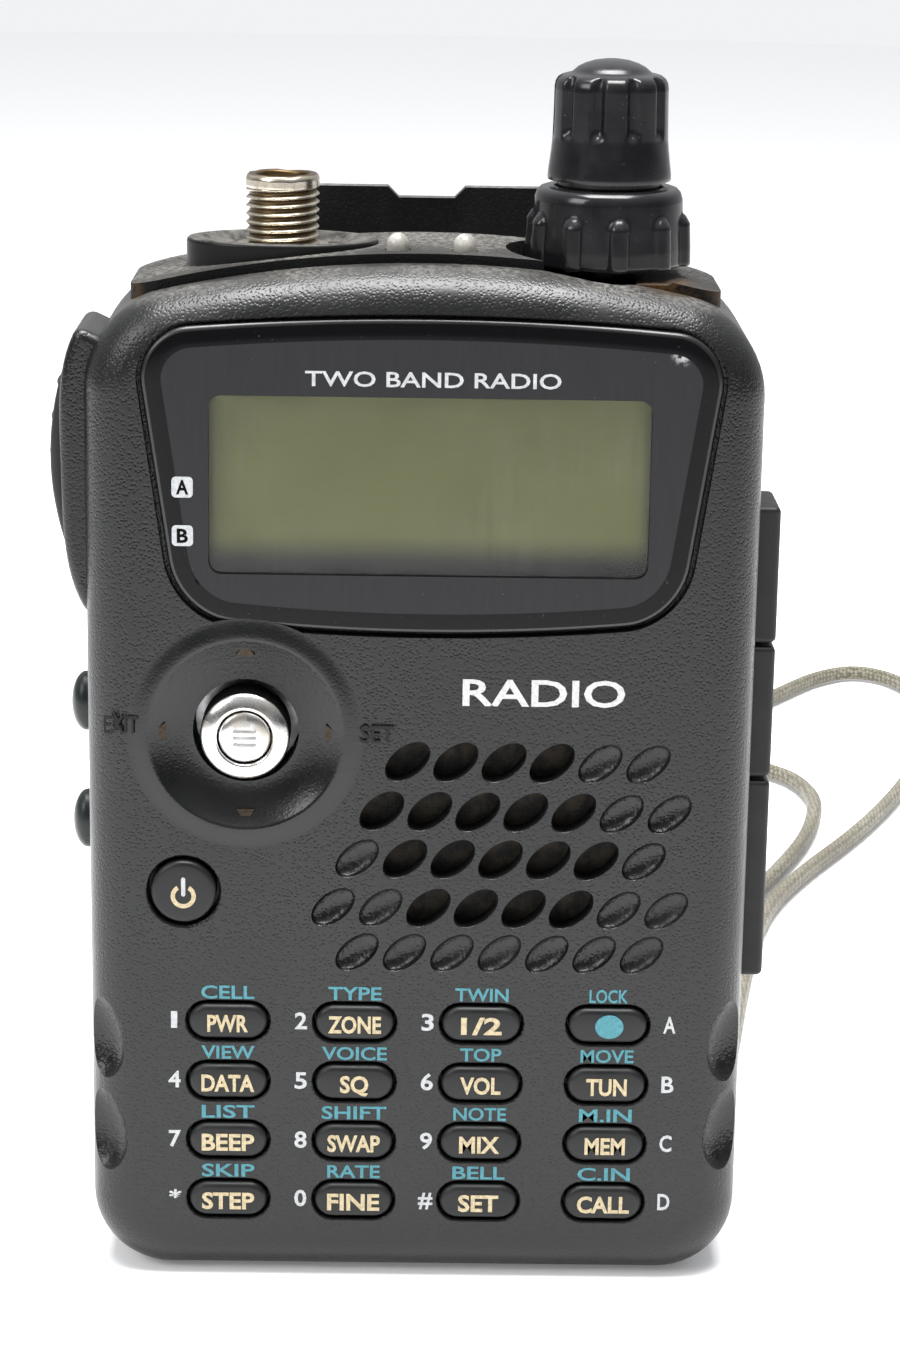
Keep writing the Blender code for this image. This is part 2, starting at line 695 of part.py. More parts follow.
def top_hole_group():
    """The holes and pockets in the top of the body, which both case halves share."""
    group = collection("top_holes", bpy.data.collections[CUTTERS])
    high = CREST + PLATFORM_RISE + OVERCUT
    low = CREST - crown_drop(BODY_HALF) - FRONT_WALL - OVERCUT
    dish = rod_mesh((KNOB_X, TOP_ROW, KNOB_DISH_FLOOR), (KNOB_X, TOP_ROW, high), KNOB_DISH_RADIUS, 32)
    sleeve = rod_mesh((KNOB_X, TOP_ROW, low), (KNOB_X, TOP_ROW, high), SLEEVE_RADIUS + GAP)
    cutter("knob_dish_and_hole", joined_mesh(dish, sleeve), group)
    pocket = ellipse((AERIAL_X, TOP_ROW), BEZEL_HALF_X + GAP, BEZEL_HALF_Y + GAP, 0, 28)
    prism = bpy.data.objects.new("prism", slab_mesh(pocket, low, high, "XY"))
    bpy.context.scene.collection.objects.link(prism)
    solid = under_crown(CREST - BEZEL_POCKET, low - OVERCUT)
    floor = cutter("pocket_floor", slab_mesh(solid, 2 * BODY_FRONT, -2 * BODY_FRONT))
    boolean(prism, floor)
    graph = bpy.context.evaluated_depsgraph_get()
    pocket_mesh = bpy.data.meshes.new_from_object(prism.evaluated_get(graph))
    bpy.data.objects.remove(prism)
    bore = rod_mesh((AERIAL_X, TOP_ROW, low), (AERIAL_X, TOP_ROW, high), AERIAL_RADIUS + GAP)
    cutter("aerial_pocket_and_hole", joined_mesh(pocket_mesh, bore), group)
    for x in (LAMP_LEFT_X, LAMP_RIGHT_X):
        cutter("lamp_hole", rod_mesh((x, LAMP_Y, low), (x, LAMP_Y, high), LAMP_RADIUS + GAP, 16), group)
    return group


def platform_mesh(near, far):
    """The part of the raised platform between two depths, sunk into the body's top wall."""
    high = CREST + PLATFORM_RISE
    band = crown_line(high, PLATFORM_HALF)
    sunk = [(x, z - FRONT_WALL) for x, z in reversed(band)]
    solid = bpy.data.objects.new("band", slab_mesh(band + sunk, near, far))
    plan = rounded_box(-PLATFORM_HALF, PLATFORM_HALF, PLATFORM_FRONT, PLATFORM_BACK, PLATFORM_CORNER)
    trim = bpy.data.objects.new("plan", slab_mesh(plan, CREST - BODY_HALF, CREST + BODY_HALF, "XY"))
    for holder in (solid, trim):
        bpy.context.scene.collection.objects.link(holder)
    boolean(solid, trim, "INTERSECT")
    graph = bpy.context.evaluated_depsgraph_get()
    mesh = bpy.data.meshes.new_from_object(solid.evaluated_get(graph))
    for holder in (solid, trim):
        bpy.data.objects.remove(holder)
    return mesh


# Case

def bulge_outline(steps=8):
    """The crowned housing round the talk button, whose back follows the wall of the body's corner."""
    corner = shoulder_start()
    lean = (BULGE_HIGH - corner) / SHOULDER_RADIUS
    back = -SIDE_INNER - GAP
    outline = [(back, BULGE_LOW), (back, corner), (back + lean * FRONT_WALL / 2 + GAP / 2, BULGE_HIGH)]
    for i in range(steps + 1):
        share = 1 - 2 * i / steps
        end = -BODY_HALF + GAP - (BULGE_TOP_STEP + GAP) * (1 + share) / 2
        z = (BULGE_HIGH + BULGE_LOW) / 2 + share * (BULGE_HIGH - BULGE_LOW) / 2
        outline.append((end - BULGE_RISE * (1 - share ** 2) + GAP, z))
    return outline


def post_places():
    return [(side * POST_X, z) for side in (-1, 1) for z in (POST_LOW, POST_HIGH)]


def joystick_dish_mesh():
    """The ball that cuts the shallow dish round the joystick."""
    ball = (STICK_DISH_RADIUS ** 2 + STICK_DISH_DEPTH ** 2) / (2 * STICK_DISH_DEPTH)
    reach = math.asin((STICK_DISH_RADIUS + GAP) / ball)
    bowl = [(0, OVERCUT), (STICK_DISH_RADIUS + GAP, OVERCUT)]
    for i in range(DISH_RINGS + 1):
        angle = reach * (1 - i / DISH_RINGS)
        bowl.append((ball * math.sin(angle), ball - STICK_DISH_DEPTH - ball * math.cos(angle)))
    mesh = turned_mesh(bowl, 24, front=True)
    mesh.transform(Matrix.Translation((STICK_X, BODY_FRONT, STICK_Z)))
    return mesh


def make_front_case(front_holes, side_holes, top_holes):
    platform = cutter("front_platform", platform_mesh(PLATFORM_FRONT - OVERCUT, SEAM - GAP / 3))
    dish = cutter("joystick_dish", joystick_dish_mesh())
    case = part("front_case", tray_mesh(body_outline(), BODY_FRONT, SEAM), "case_plastic")
    round_marked_edge(case, EDGE_RADIUS)
    shell(case, FRONT_WALL)
    boolean(case, platform, "UNION")
    near, far = SIDE_Y - BULGE_HALF_Y, SIDE_Y + BULGE_HALF_Y
    boolean(case, cutter("talk_bulge", slab_mesh(bulge_outline(), near, far)), "UNION")
    posts = collection("posts", bpy.data.collections[CUTTERS])
    pilots = collection("pilots", bpy.data.collections[CUTTERS])
    for x, z in post_places():
        start, end = (x, FRONT_INNER - GAP, z), (x, SEAM, z)
        cutter("post", rod_mesh(start, end, POST_RADIUS, 16), posts)
        start, end = (x, SEAM - PILOT_DEPTH, z), (x, SEAM + OVERCUT, z)
        cutter("pilot", rod_mesh(start, end, PILOT_RADIUS, 10), pilots)
    boolean(case, posts, "UNION")
    boolean(case, pilots)
    seat = slab_mesh(lens_outline(GAP), BODY_FRONT - OVERCUT, LENS_SEAT)
    window = rounded_box(
        GLASS_LEFT - GAP, GLASS_RIGHT + GAP, GLASS_LOW - GAP, GLASS_HIGH + GAP, GAP, 2
    )
    boolean(case, cutter("lens_seat", seat))
    boolean(case, cutter("window", slab_mesh(window, BODY_FRONT, FRONT_INNER + OVERCUT)))
    boolean(case, dish)
    boolean(case, front_holes)
    boolean(case, side_holes)
    boolean(case, top_holes)
    return case


def make_rear_case(top_holes):
    start = SEAM + GAP
    platform = cutter("rear_platform", platform_mesh(start + GAP / 3, PLATFORM_BACK + OVERCUT))
    case = part("rear_case", tray_mesh(body_outline(), REAR_BACK, start), "case_plastic")
    shell(case, REAR_WALL)
    boolean(case, platform, "UNION")
    screws = collection("screw_holes", bpy.data.collections[CUTTERS])
    for x, z in post_places():
        cutter("screw_hole", rod_mesh((x, start, z), (x, REAR_BACK + OVERCUT, z), SCREW_RADIUS, 12), screws)
    boolean(case, screws)
    boolean(case, top_holes)
    low = (-LATCH_HALF - GAP, REAR_BACK - LATCH_NOSE - GAP, -OVERCUT)
    high = (LATCH_HALF + GAP, REAR_BACK + OVERCUT, LATCH_LOW + LATCH_THICKNESS + GAP)
    boolean(case, cutter("latch_notch", box_mesh(low, high)))
    return case


# Top of the body

def make_aerial():
    barrel = [
        (AERIAL_BORE, AERIAL_TOP),
        (AERIAL_RADIUS, AERIAL_TOP),
        (AERIAL_RADIUS, AERIAL_BOTTOM),
        (0, AERIAL_BOTTOM),
        (0, AERIAL_TOP - AERIAL_BORE_DEPTH - GAP),
        (AERIAL_BORE, AERIAL_TOP - AERIAL_BORE_DEPTH - GAP),
    ]
    profile = barrel[4:] + barrel[:4]
    connector = part("antenna_connector", turned_mesh(profile), "gold_plate")
    connector.location = (AERIAL_X, TOP_ROW, 0)
    radius = AERIAL_BORE - GAP
    low, high = AERIAL_TOP - AERIAL_BORE_DEPTH, AERIAL_TOP - INSULATOR_RECESS
    ring = [(radius, high), (radius, low), (CONTACT_BORE, low), (CONTACT_BORE, high)]
    insulator = part("antenna_insulator", turned_mesh(ring, 20, closed=True), "ptfe")
    insulator.location = (AERIAL_X, TOP_ROW, 0)


def make_bezel():
    """The glossy seat round the aerial connector, which follows the crown underneath."""
    rim = BEZEL_HALF_X - AERIAL_RADIUS / 2
    profile = [
        (0, BEZEL_TOP - BEZEL_DISH),
        (AERIAL_RADIUS + GAP, BEZEL_TOP - BEZEL_DISH),
        (rim, BEZEL_TOP),
        (BEZEL_HALF_X - GAP, BEZEL_TOP),
        (BEZEL_HALF_X, BEZEL_TOP - GAP),
        (BEZEL_HALF_X, CREST - 2 * FRONT_WALL),
        (0, CREST - 2 * FRONT_WALL),
    ]
    mesh = turned_mesh(profile, 28)
    mesh.transform(Matrix.Diagonal((1, BEZEL_HALF_Y / BEZEL_HALF_X, 1, 1)))
    mesh.transform(Matrix.Translation((AERIAL_X, TOP_ROW, 0)))
    bezel = part("antenna_bezel", mesh, "gloss_plastic")
    below = under_crown(CREST - BEZEL_POCKET + GAP, CREST - BODY_HALF)
    boolean(bezel, cutter("below_bezel", slab_mesh(below, BODY_FRONT, -BODY_FRONT)))
    low, high = CREST - BODY_HALF, BEZEL_TOP + OVERCUT
    bore = rod_mesh((AERIAL_X, TOP_ROW, low), (AERIAL_X, TOP_ROW, high), AERIAL_RADIUS + GAP)
    boolean(bezel, cutter("bezel_bore", bore))


def make_lamps():
    for name, x in (("indicator_left", LAMP_LEFT_X), ("indicator_right", LAMP_RIGHT_X)):
        dome = arc((0, LAMP_TOP - LAMP_RADIUS), LAMP_RADIUS, 90, 0, 5)
        dome[0] = (0, LAMP_TOP)
        profile = dome + [(LAMP_RADIUS, LAMP_BOTTOM), (0, LAMP_BOTTOM)]
        lamp = part(name, turned_mesh(profile, 16), "lamp")
        lamp.location = (x, LAMP_Y, 0)


def make_knobs():
    bore = SHAFT_RADIUS + GAP
    round_top = arc((RING_RADIUS - RING_ROUND, RING_TOP - RING_ROUND), RING_ROUND, 90, 0, 3)
    profile = [(bore, RING_TOP)] + round_top + [
        (RING_RADIUS, RING_BOTTOM),
        (SLEEVE_RADIUS, RING_BOTTOM),
        (SLEEVE_RADIUS, SLEEVE_BOTTOM),
        (bore, SLEEVE_BOTTOM),
    ]
    ring = part("volume_ring", turned_mesh(profile, 28, closed=True), "gloss_plastic")
    ring.location = (KNOB_X, TOP_ROW, 0)

    neck_low = RING_TOP + GAP
    neck_high = RING_TOP + KNOB_NECK
    shaft_top = neck_low + SHAFT_IN_KNOB
    dome = arc((0, KNOB_SHOULDER), 1, 90, 0, 4)
    flat = KNOB_TOP_RADIUS * 0.8
    dome = [(x * flat, KNOB_SHOULDER + (z - KNOB_SHOULDER) * (KNOB_TOP - KNOB_SHOULDER)) for x, z in dome]
    dome[0] = (0, KNOB_TOP)
    profile = dome + [
        (KNOB_TOP_RADIUS - GAP, KNOB_SHOULDER),
        (KNOB_TOP_RADIUS, KNOB_SHOULDER - GAP),
        (KNOB_SKIRT_RADIUS, neck_high),
        (KNOB_NECK_RADIUS, neck_high),
        (KNOB_NECK_RADIUS, neck_low),
        (bore, neck_low),
        (bore, shaft_top + GAP),
        (0, shaft_top + GAP),
    ]
    knob = part("tuning_knob", turned_mesh(profile, 28), "gloss_plastic")
    knob.location = (KNOB_X, TOP_ROW, 0)
    shaft = [(0, shaft_top), (SHAFT_RADIUS, shaft_top), (SHAFT_RADIUS, SHAFT_BOTTOM), (0, SHAFT_BOTTOM)]
    rod = part("tuning_shaft", turned_mesh(shaft, 16), "steel")
    rod.location = (KNOB_X, TOP_ROW, 0)


def make_encoder():
    low = (KNOB_X - ENCODER_HALF_X, TOP_ROW - ENCODER_HALF_Y, ENCODER_BOTTOM)
    high = (KNOB_X + ENCODER_HALF_X, TOP_ROW + ENCODER_HALF_Y, SLEEVE_BOTTOM - 2 * GAP)
    body = part("encoder_body", box_mesh(low, high), "steel")
    bore = rod_mesh(
        (KNOB_X, TOP_ROW, SHAFT_BOTTOM - GAP), (KNOB_X, TOP_ROW, SLEEVE_BOTTOM + OVERCUT),
        SHAFT_RADIUS + GAP, 16,
    )
    boolean(body, cutter("encoder_bore", bore))


# Display

def make_display():
    lens = part("display_lens", slab_mesh(lens_outline(), LENS_FRONT, LENS_FRONT + LENS_THICKNESS), "lens")
    bevel(lens, GAP, 1)
    front = LENS_SEAT + GAP / 2
    glass = rounded_box(GLASS_LEFT, GLASS_RIGHT, GLASS_LOW, GLASS_HIGH, GAP, 2)
    part("lcd_glass", slab_mesh(glass, front, front + GLASS_THICKNESS), "lcd")
    low = (GLASS_LEFT - HOLDER_MARGIN, HOLDER_FRONT, GLASS_LOW - HOLDER_MARGIN)
    high = (GLASS_RIGHT + HOLDER_MARGIN, HOLDER_BACK, GLASS_HIGH + HOLDER_MARGIN)
    part("lcd_holder", box_mesh(low, high), "white_plastic")


# Joystick

def make_joystick():
    step = MENU_BACK - MENU_FLANGE - GAP
    ring = [
        (STICK_RING_BORE, -STICK_RING_FRONT - GAP),
        (STICK_RING_BORE + GAP, -STICK_RING_FRONT),
        (STICK_RING_RADIUS - 2 * GAP, -STICK_RING_FRONT),
        (STICK_RING_RADIUS, -STICK_RING_FRONT - 2 * GAP),
        (STICK_RING_RADIUS, -STICK_RING_BACK),
        (STICK_COUNTERBORE, -STICK_RING_BACK),
        (STICK_COUNTERBORE, -step),
        (STICK_RING_BORE, -step),
    ]
    button = [
        (0, -MENU_FRONT),
        (MENU_RADIUS - GAP, -MENU_FRONT),
        (MENU_RADIUS, -MENU_FRONT - GAP),
        (MENU_RADIUS, -MENU_BACK + MENU_FLANGE),
        (MENU_FLANGE_RADIUS, -MENU_BACK + MENU_FLANGE),
        (MENU_FLANGE_RADIUS, -MENU_BACK),
        (0, -MENU_BACK),
    ]
    gimbal = [
        (0, -GIMBAL_FRONT),
        (GIMBAL_RADIUS, -GIMBAL_FRONT),
        (GIMBAL_RADIUS, -STICK_PIVOT),
        (0, -STICK_PIVOT),
    ]
    base = [
        (0, -STICK_BASE_FRONT),
        (STICK_BASE_RADIUS, -STICK_BASE_FRONT),
        (STICK_BASE_RADIUS, -STICK_BASE_BACK),
        (0, -STICK_BASE_BACK),
    ]
    shapes = (
        ("joystick_ring", ring, "chrome", True, STICK_PIVOT),
        ("menu_button", button, "chrome", False, STICK_PIVOT),
        ("joystick_gimbal", gimbal, "white_plastic", False, STICK_PIVOT),
        ("joystick_base", base, "steel", False, 0),
    )
    for name, profile, look, closed, origin in shapes:
        mesh = turned_mesh(profile, 24, closed, front=True)
        mesh.transform(Matrix.Translation((0, -origin, 0)))
        piece = part(name, mesh, look)
        piece.location = (STICK_X, origin, STICK_Z)


# Keys and buttons

def flanged_mesh(top, flange):
    """A key or button: its top through the front wall, and a wider flange behind the wall."""
    flange_front = FRONT_INNER + GAP
    flange_back = flange_front + KEY_FLANGE
    cap = slab_mesh(top, KEY_FRONT, flange_back - GAP)
    back = slab_mesh(flange, flange_front, flange_back)
    return joined_mesh(cap, back)


def make_keys():
    top = stadium((0, 0), KEY_WIDTH, KEY_HEIGHT)
    grow = 2 * (GAP + KEY_FLANGE_MARGIN)
    mesh = flanged_mesh(top, stadium((0, 0), KEY_WIDTH + grow, KEY_HEIGHT + grow / 2))
    for row in range(KEY_ROWS):
        for column in range(KEY_COLUMNS):
            key = part(f"key_{row + 1}_{column + 1}", mesh.copy(), "key_rubber")
            x, z = key_place(row, column)
            key.location = (x, 0, z)
    flange = POWER_RADIUS + GAP + KEY_FLANGE_MARGIN
    mesh = flanged_mesh(
        ellipse((0, 0), POWER_RADIUS, POWER_RADIUS, 0, 24), ellipse((0, 0), flange, flange, 0, 24)
    )
    power = part("power_button", mesh, "key_rubber")
    power.location = (POWER_X, 0, POWER_Z)


def make_keypad_mat():
    front = FRONT_INNER + GAP + KEY_FLANGE + KEY_TRAVEL + GAP
    sheet = rounded_box(-MAT_HALF, MAT_HALF, MAT_LOW, MAT_HIGH, 1 * MM, 2)
    part("keypad_mat", slab_mesh(sheet, front, front + MAT_THICKNESS), "rubber")


def arc_piece(centre_z, half_z, end_x, crown_x, back_x, steps=8):
    """An outline in X and Z with a flat back and a crowned outer side that faces -X."""
    rise = end_x - crown_x
    outline = [(back_x, centre_z - half_z), (back_x, centre_z + half_z)]
    for i in range(steps + 1):
        share = 1 - 2 * i / steps
        outline.append((end_x - rise * (1 - share ** 2), centre_z + share * half_z))
    return outline


def make_side_buttons():
    sizes = {"talk_button": (TALK_Z, TALK_HALF_Z, TALK_HALF_Y, TALK_END, TALK_CROWN)}
    for name, z in SIDE_BUTTONS.items():
        sizes[name] = (z, SIDE_HALF_Z, SIDE_HALF_Y, SIDE_END, SIDE_CROWN)
    flange_out = -SIDE_INNER + GAP
    flange_in = flange_out + SIDE_FLANGE
    for name, (z, half_z, half_y, end, crown) in sizes.items():
        outline = arc_piece(0, half_z, end, crown, flange_in - GAP)
        cap = slab_mesh(outline, -half_y, half_y)
        margin = GAP + SIDE_FLANGE_MARGIN
        low = (flange_out, -half_y - margin, -half_z - margin)
        high = (flange_in, half_y + margin, min(half_z + margin, shoulder_start() - z))
        button = part(name, joined_mesh(cap, box_mesh(low, high)), "rubber")
        button.location = (0, SIDE_Y, z)


# Jacks and their rubber cover

def make_jacks():
    high_x = SIDE_INNER - GAP
    low_x = high_x - JACK_LENGTH
    low = (low_x, JACK_Y - JACK_HALF, DC_JACK_Z - JACK_HALF)
    high = (high_x, JACK_Y + JACK_HALF, DC_JACK_Z + JACK_HALF)
    dc_jack = part("dc_jack", box_mesh(low, high), "gloss_plastic")
    low = (low_x, JACK_Y - JACK_HALF, AUDIO_JACK_Z[1] - JACK_HALF)
    high = (high_x, JACK_Y + JACK_HALF, AUDIO_JACK_Z[0] + JACK_HALF)
    audio_jack = part("audio_jack", box_mesh(low, high), "gloss_plastic")
    bores = [(dc_jack, DC_JACK_Z, DC_BORE)]
    bores += [(audio_jack, z, bore) for z, bore in zip(AUDIO_JACK_Z, AUDIO_BORES)]
    for jack, z, bore in bores:
        start = (high_x - BORE_DEPTH, JACK_Y, z)
        end = (high_x + OVERCUT, JACK_Y, z)
        boolean(jack, cutter("jack_bore", rod_mesh(start, end, bore, 16)))


def make_jack_cover():
    inner = BODY_HALF + GAP
    outer = inner + COVER_THICKNESS
    half_gap = GAP / 2
    lengths = {
        "cover_lower": (COVER_LOW, COVER_LOWER_FOLD - half_gap, COVER_LOWER_FOLD),
        "cover_anchor": (COVER_LOWER_FOLD + half_gap, COVER_UPPER_FOLD - half_gap, COVER_LOWER_FOLD),
        "cover_upper": (COVER_UPPER_FOLD + half_gap, COVER_HIGH, COVER_UPPER_FOLD),
    }
    for name, (low_z, high_z, fold) in lengths.items():
        low = (inner - outer, -COVER_HALF_Y, low_z - fold)
        high = (0, COVER_HALF_Y, high_z - fold)
        piece = part(name, box_mesh(low, high), "rubber")
        piece.location = (outer, JACK_Y, fold)
        bevel(piece, COVER_ROUND if name != "cover_anchor" else GAP / 2, 2)


# Strap

def make_eyelet():
    inner = BODY_HALF + GAP
    outer = inner + EYELET_REACH
    low, high = EYELET_Z - EYELET_HALF_Z, EYELET_Z + EYELET_HALF_Z
    loop = rounded_box(inner, outer, low, high, EYELET_BAR)
    bar = EYELET_BAR
    hole = rounded_box(inner + bar, outer - bar, low + bar, high - bar, bar / 2, 2)
    part("strap_eyelet", slab_mesh(loop, EYELET_FRONT, EYELET_BACK, holes=(hole,)), "steel")


def smooth_route(route, spacing):
    """Evenly spaced points on a smooth curve through a route's own points."""
    points = [Vector(point) * MM for point in route]
    ends = [2 * points[0] - points[1], *points, 2 * points[-1] - points[-2]]
    fine = []
    for a, b, c, d in zip(ends, ends[1:], ends[2:], ends[3:]):
        for i in range(16):
            t = i / 16
            fine.append(
                ((2 * b) + (c - a) * t + (2 * a - 5 * b + 4 * c - d) * t ** 2
                 + (3 * b - a - 3 * c + d) * t ** 3) / 2
            )
    fine.append(points[-1])
    lengths = [0]
    for a, b in zip(fine, fine[1:]):
        lengths.append(lengths[-1] + (b - a).length)
    count = round(lengths[-1] / spacing)
    even, at = [], 0
    for i in range(count + 1):
        want = lengths[-1] * i / count
        while at < len(fine) - 2 and lengths[at + 1] < want:
            at += 1
        share = (want - lengths[at]) / (lengths[at + 1] - lengths[at])
        even.append(fine[at].lerp(fine[at + 1], share))
    return even


def tube_mesh(points, radius, resolution=2):
    curve = bpy.data.curves.new("tube", "CURVE")
    curve.dimensions = "3D"
    curve.bevel_depth = radius
    curve.bevel_resolution = resolution
    curve.use_fill_caps = True
    spline = curve.splines.new("POLY")
    spline.points.add(len(points) - 1)
    for point, place in zip(spline.points, points):
        point.co = (*place, 1)
    return mesh_of_curve(curve)


def make_strap():
    part("wrist_strap", tube_mesh(smooth_route(STRAP_ROUTE, STRAP_SPACING), STRAP_RADIUS, 1), "strap_cord")


# Speaker and boards

def make_speaker():
    cloth_back = FRONT_INNER + GAP + CLOTH_THICKNESS
    cloth = ellipse((SPEAKER_X, SPEAKER_Z), SPEAKER_RADIUS, SPEAKER_RADIUS, 0, 28)
    part("speaker_cloth", slab_mesh(cloth, FRONT_INNER + GAP, cloth_back), "cloth")
    front = -(cloth_back + GAP)
    back = -SPEAKER_BACK
    inner = SPEAKER_RADIUS - SPEAKER_RIM
    basket = [
        (inner, front),
        (SPEAKER_RADIUS, front),
        (SPEAKER_RADIUS, front - SPEAKER_SHEET),
        (MAGNET_RADIUS, back + SPEAKER_SHEET),
        (MAGNET_RADIUS, back),
        (0, back),
        (0, back + SPEAKER_SHEET),
        (MAGNET_RADIUS - SPEAKER_SHEET, back + SPEAKER_SHEET),
        (inner, front - SPEAKER_SHEET),
    ]
    profile = basket[6:] + basket[:6]
    cone_edge = inner - GAP
    cone_front = front - GAP
    cone = [
        (0, cone_front - CONE_DEPTH),
        (cone_edge / 3, cone_front - CONE_DEPTH),
        (cone_edge, cone_front),
        (cone_edge, cone_front - CONE_THICKNESS),
        (cone_edge / 3, cone_front - CONE_DEPTH - CONE_THICKNESS),
        (0, cone_front - CONE_DEPTH - CONE_THICKNESS),
    ]
    for name, outline, look in (("speaker_frame", profile, "steel"), ("speaker_cone", cone, "paper_cone")):
        piece = part(name, turned_mesh(outline, 24, front=True), look)
        piece.location = (SPEAKER_X, 0, SPEAKER_Z)


def make_boards():
    top = shoulder_start() + BOARD_PAST_SHOULDER
    for name, front in (("control_board", CONTROL_BOARD_FRONT), ("main_board", MAIN_BOARD_FRONT)):
        low = (-BOARD_HALF, front, BOARD_LOW)
        high = (BOARD_HALF, front + BOARD_THICKNESS, top)
        board = part(name, box_mesh(low, high), "board")
        notches = collection(f"{name}_notches", bpy.data.collections[CUTTERS])
        radius = POST_RADIUS if front < SEAM else SCREW_RADIUS
        near, far = front - OVERCUT, front + OVERCUT
        for x, z in post_places():
            cutter("notch", rod_mesh((x, near, z), (x, far, z), radius + GAP, 16), notches)
        if name == "control_board":
            start, end = (STICK_X, near, STICK_Z), (STICK_X, far, STICK_Z)
            cutter("stick_hole", rod_mesh(start, end, STICK_BASE_RADIUS + GAP), notches)
        boolean(board, notches)


# Battery pack

def make_pack():
    outline = pack_outline()
    lid_front = REAR_BACK + GAP
    lid_back = lid_front + LID_THICKNESS
    case = part("battery_case", tray_mesh(outline, PACK_BACK, lid_back + GAP), "case_plastic")
    round_marked_edge(case, EDGE_RADIUS)
    shell(case, PACK_WALL)
    lid = part("battery_lid", slab_mesh(outline, lid_front, lid_back), "case_plastic")
    low = (-CELL_HALF, lid_back + CELL_MARGIN, CELL_LOW)
    high = (CELL_HALF, PACK_BACK - PACK_WALL - CELL_MARGIN, CELL_HIGH)
    cell = part("battery_cell", box_mesh(low, high), "cell_wrap")
    bevel(cell, 1 * MM, 2)
    latch_front = REAR_BACK - LATCH_NOSE
    latch_back = latch_front + LATCH_DEPTH
    low = (-LATCH_HALF, latch_front, LATCH_LOW)
    high = (LATCH_HALF, latch_back, LATCH_LOW + LATCH_THICKNESS)
    part("battery_latch", box_mesh(low, high), "case_plastic")
    low = (-LATCH_HALF - GAP, REAR_BACK - OVERCUT, LATCH_LOW - OVERCUT)
    high = (LATCH_HALF + GAP, latch_back + LATCH_TRAVEL + GAP, LATCH_LOW + LATCH_THICKNESS + GAP)
    recess = cutter("latch_recess", box_mesh(low, high))
    boolean(case, recess)
    boolean(lid, recess)


# Belt clip

def make_bracket():
    base_back = PACK_BACK + GAP + BRACKET_THICKNESS
    low = (-BRACKET_HALF, PACK_BACK + GAP, BRACKET_LOW)
    high = (BRACKET_HALF, base_back, BRACKET_HIGH)
    bracket = part("clip_bracket", box_mesh(low, high), "case_plastic")
    ears = collection("ears", bpy.data.collections[CUTTERS])
    for side in (-1, 1):
        edges = sorted((side * BRACKET_HALF, side * (BRACKET_HALF - EAR_THICKNESS)))
        low = (edges[0], base_back - BRACKET_THICKNESS / 2, CLIP_PIN_Z - EAR_HALF_Z)
        high = (edges[1], CLIP_Y + KNUCKLE_RADIUS, CLIP_PIN_Z + EAR_HALF_Z)
        cutter("ear", box_mesh(low, high), ears)
    boolean(bracket, ears, "UNION")
    reach = BRACKET_HALF + OVERCUT
    hole = rod_mesh((-reach, CLIP_Y, CLIP_PIN_Z), (reach, CLIP_Y, CLIP_PIN_Z), CLIP_PIN_RADIUS + GAP, 16)
    boolean(bracket, cutter("pin_hole", hole))
    ends = BRACKET_HALF - GAP
    pin = rod_mesh((-ends, 0, 0), (ends, 0, 0), CLIP_PIN_RADIUS, 16)
    part("clip_pin", pin, "steel").location = (0, CLIP_Y, CLIP_PIN_Z)


def clip_sheet_mesh():
    """The clip's middle surface, bent towards the battery near its foot, with no thickness yet."""
    places = (
        (CLIP_Y, CLIP_TOP),
        (CLIP_Y, CLIP_BEND_Z),
        (CLIP_Y - CLIP_HOOK, CLIP_HOOK_Z),
        (CLIP_Y - CLIP_HOOK / 2, CLIP_FOOT),
    )
    mesh = bpy.data.meshes.new("clip_sheet")
    work = bmesh.new()
    line = [work.verts.new((-CLIP_TAB_HALF, y, z)) for y, z in places]
    edges = [work.edges.new(pair) for pair in zip(line, line[1:])]
    side = bmesh.ops.extrude_edge_only(work, edges=edges)
    moved = [item for item in side["geom"] if isinstance(item, bmesh.types.BMVert)]
    bmesh.ops.translate(work, vec=(2 * CLIP_TAB_HALF, 0, 0), verts=moved)
    work.to_mesh(mesh)
    work.free()
    return mesh


def clip_outline():
    """The clip seen from the front: a wide tab, a waist between the bracket's ears and a long tongue."""
    waist_high = CLIP_PIN_Z + EAR_HALF_Z + 2 * GAP
    waist_low = CLIP_PIN_Z - EAR_HALF_Z - 2 * GAP
    right = [
        (CLIP_FOOT_HALF, CLIP_FOOT - OVERCUT),
        (CLIP_FOOT_HALF, waist_low),
        (CLIP_WAIST_HALF, waist_low),
        (CLIP_WAIST_HALF, waist_high),
        (CLIP_TAB_HALF - GAP, waist_high + CLIP_THICKNESS),
        (CLIP_TAB_HALF - GAP, CLIP_TOP + OVERCUT),
        (CLIP_NOTCH_HALF + CLIP_NOTCH_DEPTH, CLIP_TOP + OVERCUT),
        (CLIP_NOTCH_HALF + CLIP_NOTCH_DEPTH, CLIP_TOP),
        (CLIP_NOTCH_HALF, CLIP_TOP - CLIP_NOTCH_DEPTH),
    ]
    return right + [(-x, z) for x, z in reversed(right)]


